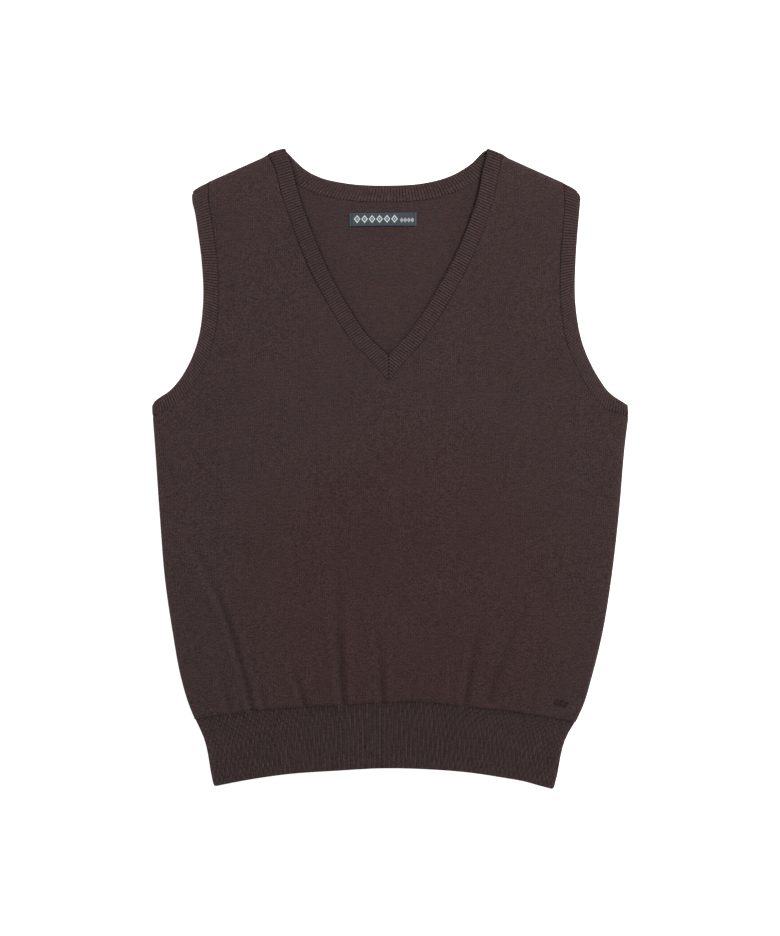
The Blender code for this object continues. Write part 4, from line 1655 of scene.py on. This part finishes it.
# groove is painted shade between the ribs. The waist rib is the same yarn; its lower brightness is painted
# shade.
RIB = {"groove": 0.80, "brightness": 1.24, "contrast": 2.0, "relief": 0.00025}
WAIST_RIB = {"groove": 0.35, "brightness": 0.90, "contrast": 2.4, "relief": 0.00025, "pull": 0.21}
BETWEEN_RIBS = 0.5
plain_knit = knit_face("plain_knit", groove=0.25, brightness=1.09, contrast=2.3, relief=0.00030, warm=True)
plain_reverse = knit_reverse("plain_knit_reverse", brightness=0.99, contrast=2.1, relief=0.00025)
rib_knit = knit_face("rib_knit", **RIB)
rib_reverse = knit_face("rib_knit_reverse", phase=BETWEEN_RIBS, **RIB)
waist_knit = knit_face("waist_rib_knit", **WAIST_RIB)
waist_reverse = knit_face("waist_rib_knit_reverse", phase=BETWEEN_RIBS, **WAIST_RIB)
print("knit finishes:", plain_knit.name, plain_reverse.name, rib_knit.name)

# %% [markdown]
# ## Thread and label
# Sewing thread is a little smoother than wool and darker here. The label is woven from slate threads
# with off-white ones for its motif. A lozenge is where the distances from its centre, across and up, add
# up to less than its size, and its outline is where they come near to it.

# %% Thread finishes
THREAD_SHADE = 0.7
THREAD_RELIEF = 0.0001


def thread_finish(name, tint):
    finish = Finish(name, CLOTH)
    twist = finish.noise(finish.object_place(), scale=2400.0, detail=1.0)
    dark = colour(*(THREAD_SHADE * channel for channel in tint[:3]))
    brown = finish.mix(twist, dark, tint)
    normal = finish.bump(twist, THREAD_RELIEF)
    finish.fill(finish.shader, {"Base Color": brown, "Roughness": 0.7 + twist * 0.15, "Normal": normal})
    return finish.material


seam_thread = thread_finish("seam_thread", colour(0.0340, 0.0205, 0.0200))
satin_thread = thread_finish("satin_thread", colour(0.0150, 0.0095, 0.0100))
label_thread = thread_finish("label_thread", colour(0.0080, 0.0110, 0.0135))
print("threads:", seam_thread.name, satin_thread.name, label_thread.name)

# %% The label's finish
LozengeRow = namedtuple("LozengeRow", "start pitch count wide tall up stroke")
LARGE_ROW = LozengeRow(-0.0246, 0.0071, 6, 0.0034, 0.0041, 0.0004, 0.17)
SMALL_ROW = LozengeRow(0.0177, 0.0034, 4, 0.0015, 0.0019, -0.0008, 0.50)
SMALL_SHARE = 0.5
OUTLINE_SIZE = 0.74
STROKE_EASE = 0.06
CORE_EASE = (0.12, 0.26)
ROW_EASE = 0.001
LABEL_FOLD = LABEL_WIDTH / 2 - 0.0022
FOLD_LINE = 0.0005
WEFT_PITCH = 0.00042
WARP_PITCH = 0.00036
WEFT_SHARE = 0.7
LABEL_RELIEF = 0.00010
MOTIF_RELIEF = 0.6
END_LIGHTER = 0.25
FOLD_DARKER = 0.6
SLATE_DARK = colour(0.0315, 0.0430, 0.0490)
SLATE_LIGHT = colour(0.0620, 0.0800, 0.0895)
OFF_WHITE_DARK = colour(0.46, 0.49, 0.50)
OFF_WHITE_LIGHT = colour(0.74, 0.77, 0.77)


def lozenges(row, across, up):
    """1 on the outlines and the cores of a row of lozenges, 0 beside them."""
    run = (across - (row.start - row.pitch / 2)) / row.pitch
    inside_row = run.step_up(-ROW_EASE, 0.0) * (1 - run.step_up(row.count - ROW_EASE, row.count))
    from_centre = abs(run.fraction() - 0.5) * row.pitch
    size = from_centre / row.wide + abs(up - row.up) / row.tall
    outline = 1 - abs(size - OUTLINE_SIZE).step_up(row.stroke - STROKE_EASE, row.stroke + STROKE_EASE)
    core = 1 - size.step_up(*CORE_EASE)
    return (outline + core).math("MINIMUM", 1.0) * inside_row


def label_finish():
    finish = Finish("label_weave", CLOTH)
    across, up = finish.map_axes("knit")
    motif = lozenges(LARGE_ROW, across, up) + lozenges(SMALL_ROW, across, up) * SMALL_SHARE
    weft = abs((up * (np.pi / WEFT_PITCH)).sine())
    warp = abs((across * (np.pi / WARP_PITCH)).sine())
    weave = weft * WEFT_SHARE + warp * (1 - WEFT_SHARE)
    slate = finish.mix(weave, SLATE_DARK, SLATE_LIGHT)
    white = finish.mix(weave, OFF_WHITE_DARK, OFF_WHITE_LIGHT)
    beyond = abs(across).step_up(LABEL_FOLD, LABEL_FOLD + FOLD_LINE)
    # A line of painted shade along each fold.
    fold = 1 - abs(abs(across) - LABEL_FOLD).step_up(0.0, FOLD_LINE)
    depth = (1 + beyond * END_LIGHTER) * (1 - fold * FOLD_DARKER)
    cloth = tinted(finish, finish.mix(motif, slate, white), depth)
    normal = finish.bump(weave + motif * MOTIF_RELIEF, LABEL_RELIEF)
    finish.fill(finish.shader, {"Base Color": cloth, "Roughness": 0.62 + weave * 0.1, "Normal": normal})
    return finish.material


label_weave = label_finish()
print("label motif:", LARGE_ROW.count, "large lozenges and", SMALL_ROW.count, "small ones")

# %% [markdown]
# ## Walls and finishes
# Now the sheets get their thickness. The second material of each pair lands on the side that the faces
# turn their backs to: the inside of the vest. The walls come before the shade of the V, which needs them.

# %% Thicken and dress the pieces
def dress(piece, *materials):
    piece.data.materials.clear()
    for material in materials:
        piece.data.materials.append(material)
    return piece


for panel in (front, back):
    give_wall(dress(panel, plain_knit, plain_reverse), JERSEY_WALL)
for band in (neck_band, *arm_bands.values()):
    give_wall(dress(band, rib_knit, rib_reverse), RIB_WALL)
for band in (waist_front, waist_back):
    give_wall(dress(band, waist_knit, waist_reverse), RIB_WALL)
shade_inside(back, V_SHADE_REACH)
shade_inside(neck_band, BACK_NECK_V_REACH, rim=smooth_curve(BACK_NECK_EDGE))
give_wall(dress(label, label_weave), LABEL_WALL)
dress(neck_stitches, seam_thread)
dress(label_stitches, label_thread)
dress(satin_bars, satin_thread)

# %% [markdown]
# ## What each piece stands for
# Every sheet takes the place of a plain solid of the model, and every piece moves with the one body of
# the vest.

# %% Pieces and the frame
STANDS_FOR = {
    front: "front_panel",
    back: "back_panel",
    neck_band: "neck_rib",
    arm_bands["left"]: "armhole_rib_left",
    arm_bands["right"]: "armhole_rib_right",
    waist_front: "waist_rib_front",
    waist_back: "waist_rib_back",
    label: "neck_label",
}
for piece, node in STANDS_FOR.items():
    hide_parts(node)
    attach(piece, "root")
for piece in (neck_stitches, label_stitches, satin_bars):
    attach(piece, "root")

print("whole cut:", len(STANDS_FOR), "sheets of cloth")

# %% [markdown]
# ## Floor, light and camera
# The vest lies on a white surface that glows a little, like a light table, which keeps shadows faint. A
# large soft lamp stands beyond the neck and a little to the right, so the cloth is brightest there. The
# camera looks straight down. The floor is a hair lower than the cloth, so that the two never touch.

# %% Floor
FLOOR_SIZE = 30.0
FLOOR_LEVEL = -0.0004
FLOOR_GLOW = 0.80
bpy.ops.object.select_all(action="DESELECT")
bpy.ops.mesh.primitive_plane_add(size=FLOOR_SIZE, location=(0.0, 0.0, FLOOR_LEVEL))
floor = bpy.context.object
floor.name = "white_table"
table = Finish("white_table", {"Base Color": colour(0.9, 0.9, 0.9), "Roughness": 0.9})
table.fill(table.shader, {"Emission Color": WHITE, "Emission Strength": FLOOR_GLOW})
floor.data.materials.append(table.material)
print("the floor is", FLOOR_SIZE, "m wide")

# %% Light
WORLD_STRENGTH = 0.45
LAMP_PLACE = (1.25, 1.90, 2.40)
LAMP_SIZE = 1.3
LAMP_WATTS = 96.0
scene = bpy.context.scene
scene.view_settings.view_transform = "Standard"
world = bpy.data.worlds.new("studio")
world.use_nodes = True
world.node_tree.nodes["Background"].inputs["Color"].default_value = WHITE
world.node_tree.nodes["Background"].inputs["Strength"].default_value = WORLD_STRENGTH
scene.world = world
bpy.ops.object.light_add(type="AREA", location=LAMP_PLACE)
lamp = bpy.context.object
lamp.name = "key_lamp"
lamp.data.shape = "SQUARE"
lamp.data.size = LAMP_SIZE
lamp.data.energy = LAMP_WATTS
lamp.rotation_euler = (-lamp.location).to_track_quat("-Z", "Y").to_euler()
print("the lamp hangs", round(lamp.location.length, 2), "m from the vest")

# %% Camera
CAMERA_HEIGHT = 1.75
CAMERA_X = -0.0005
SENSOR_WIDTH = 36.0
LENS = 85.0
bpy.ops.object.camera_add(location=(CAMERA_X, 0.0, CAMERA_HEIGHT), rotation=(0.0, 0.0, 0.0))
camera = bpy.context.object
camera.data.sensor_fit = "HORIZONTAL"
camera.data.sensor_width = SENSOR_WIDTH
camera.data.lens = LENS
scene.camera = camera
print("the view is", round(SENSOR_WIDTH / LENS * CAMERA_HEIGHT, 3), "m wide at the surface")

# %% [markdown]
# ## The end
# The view layer is brought up to date once more.

# %% The end
bpy.context.view_layer.update()
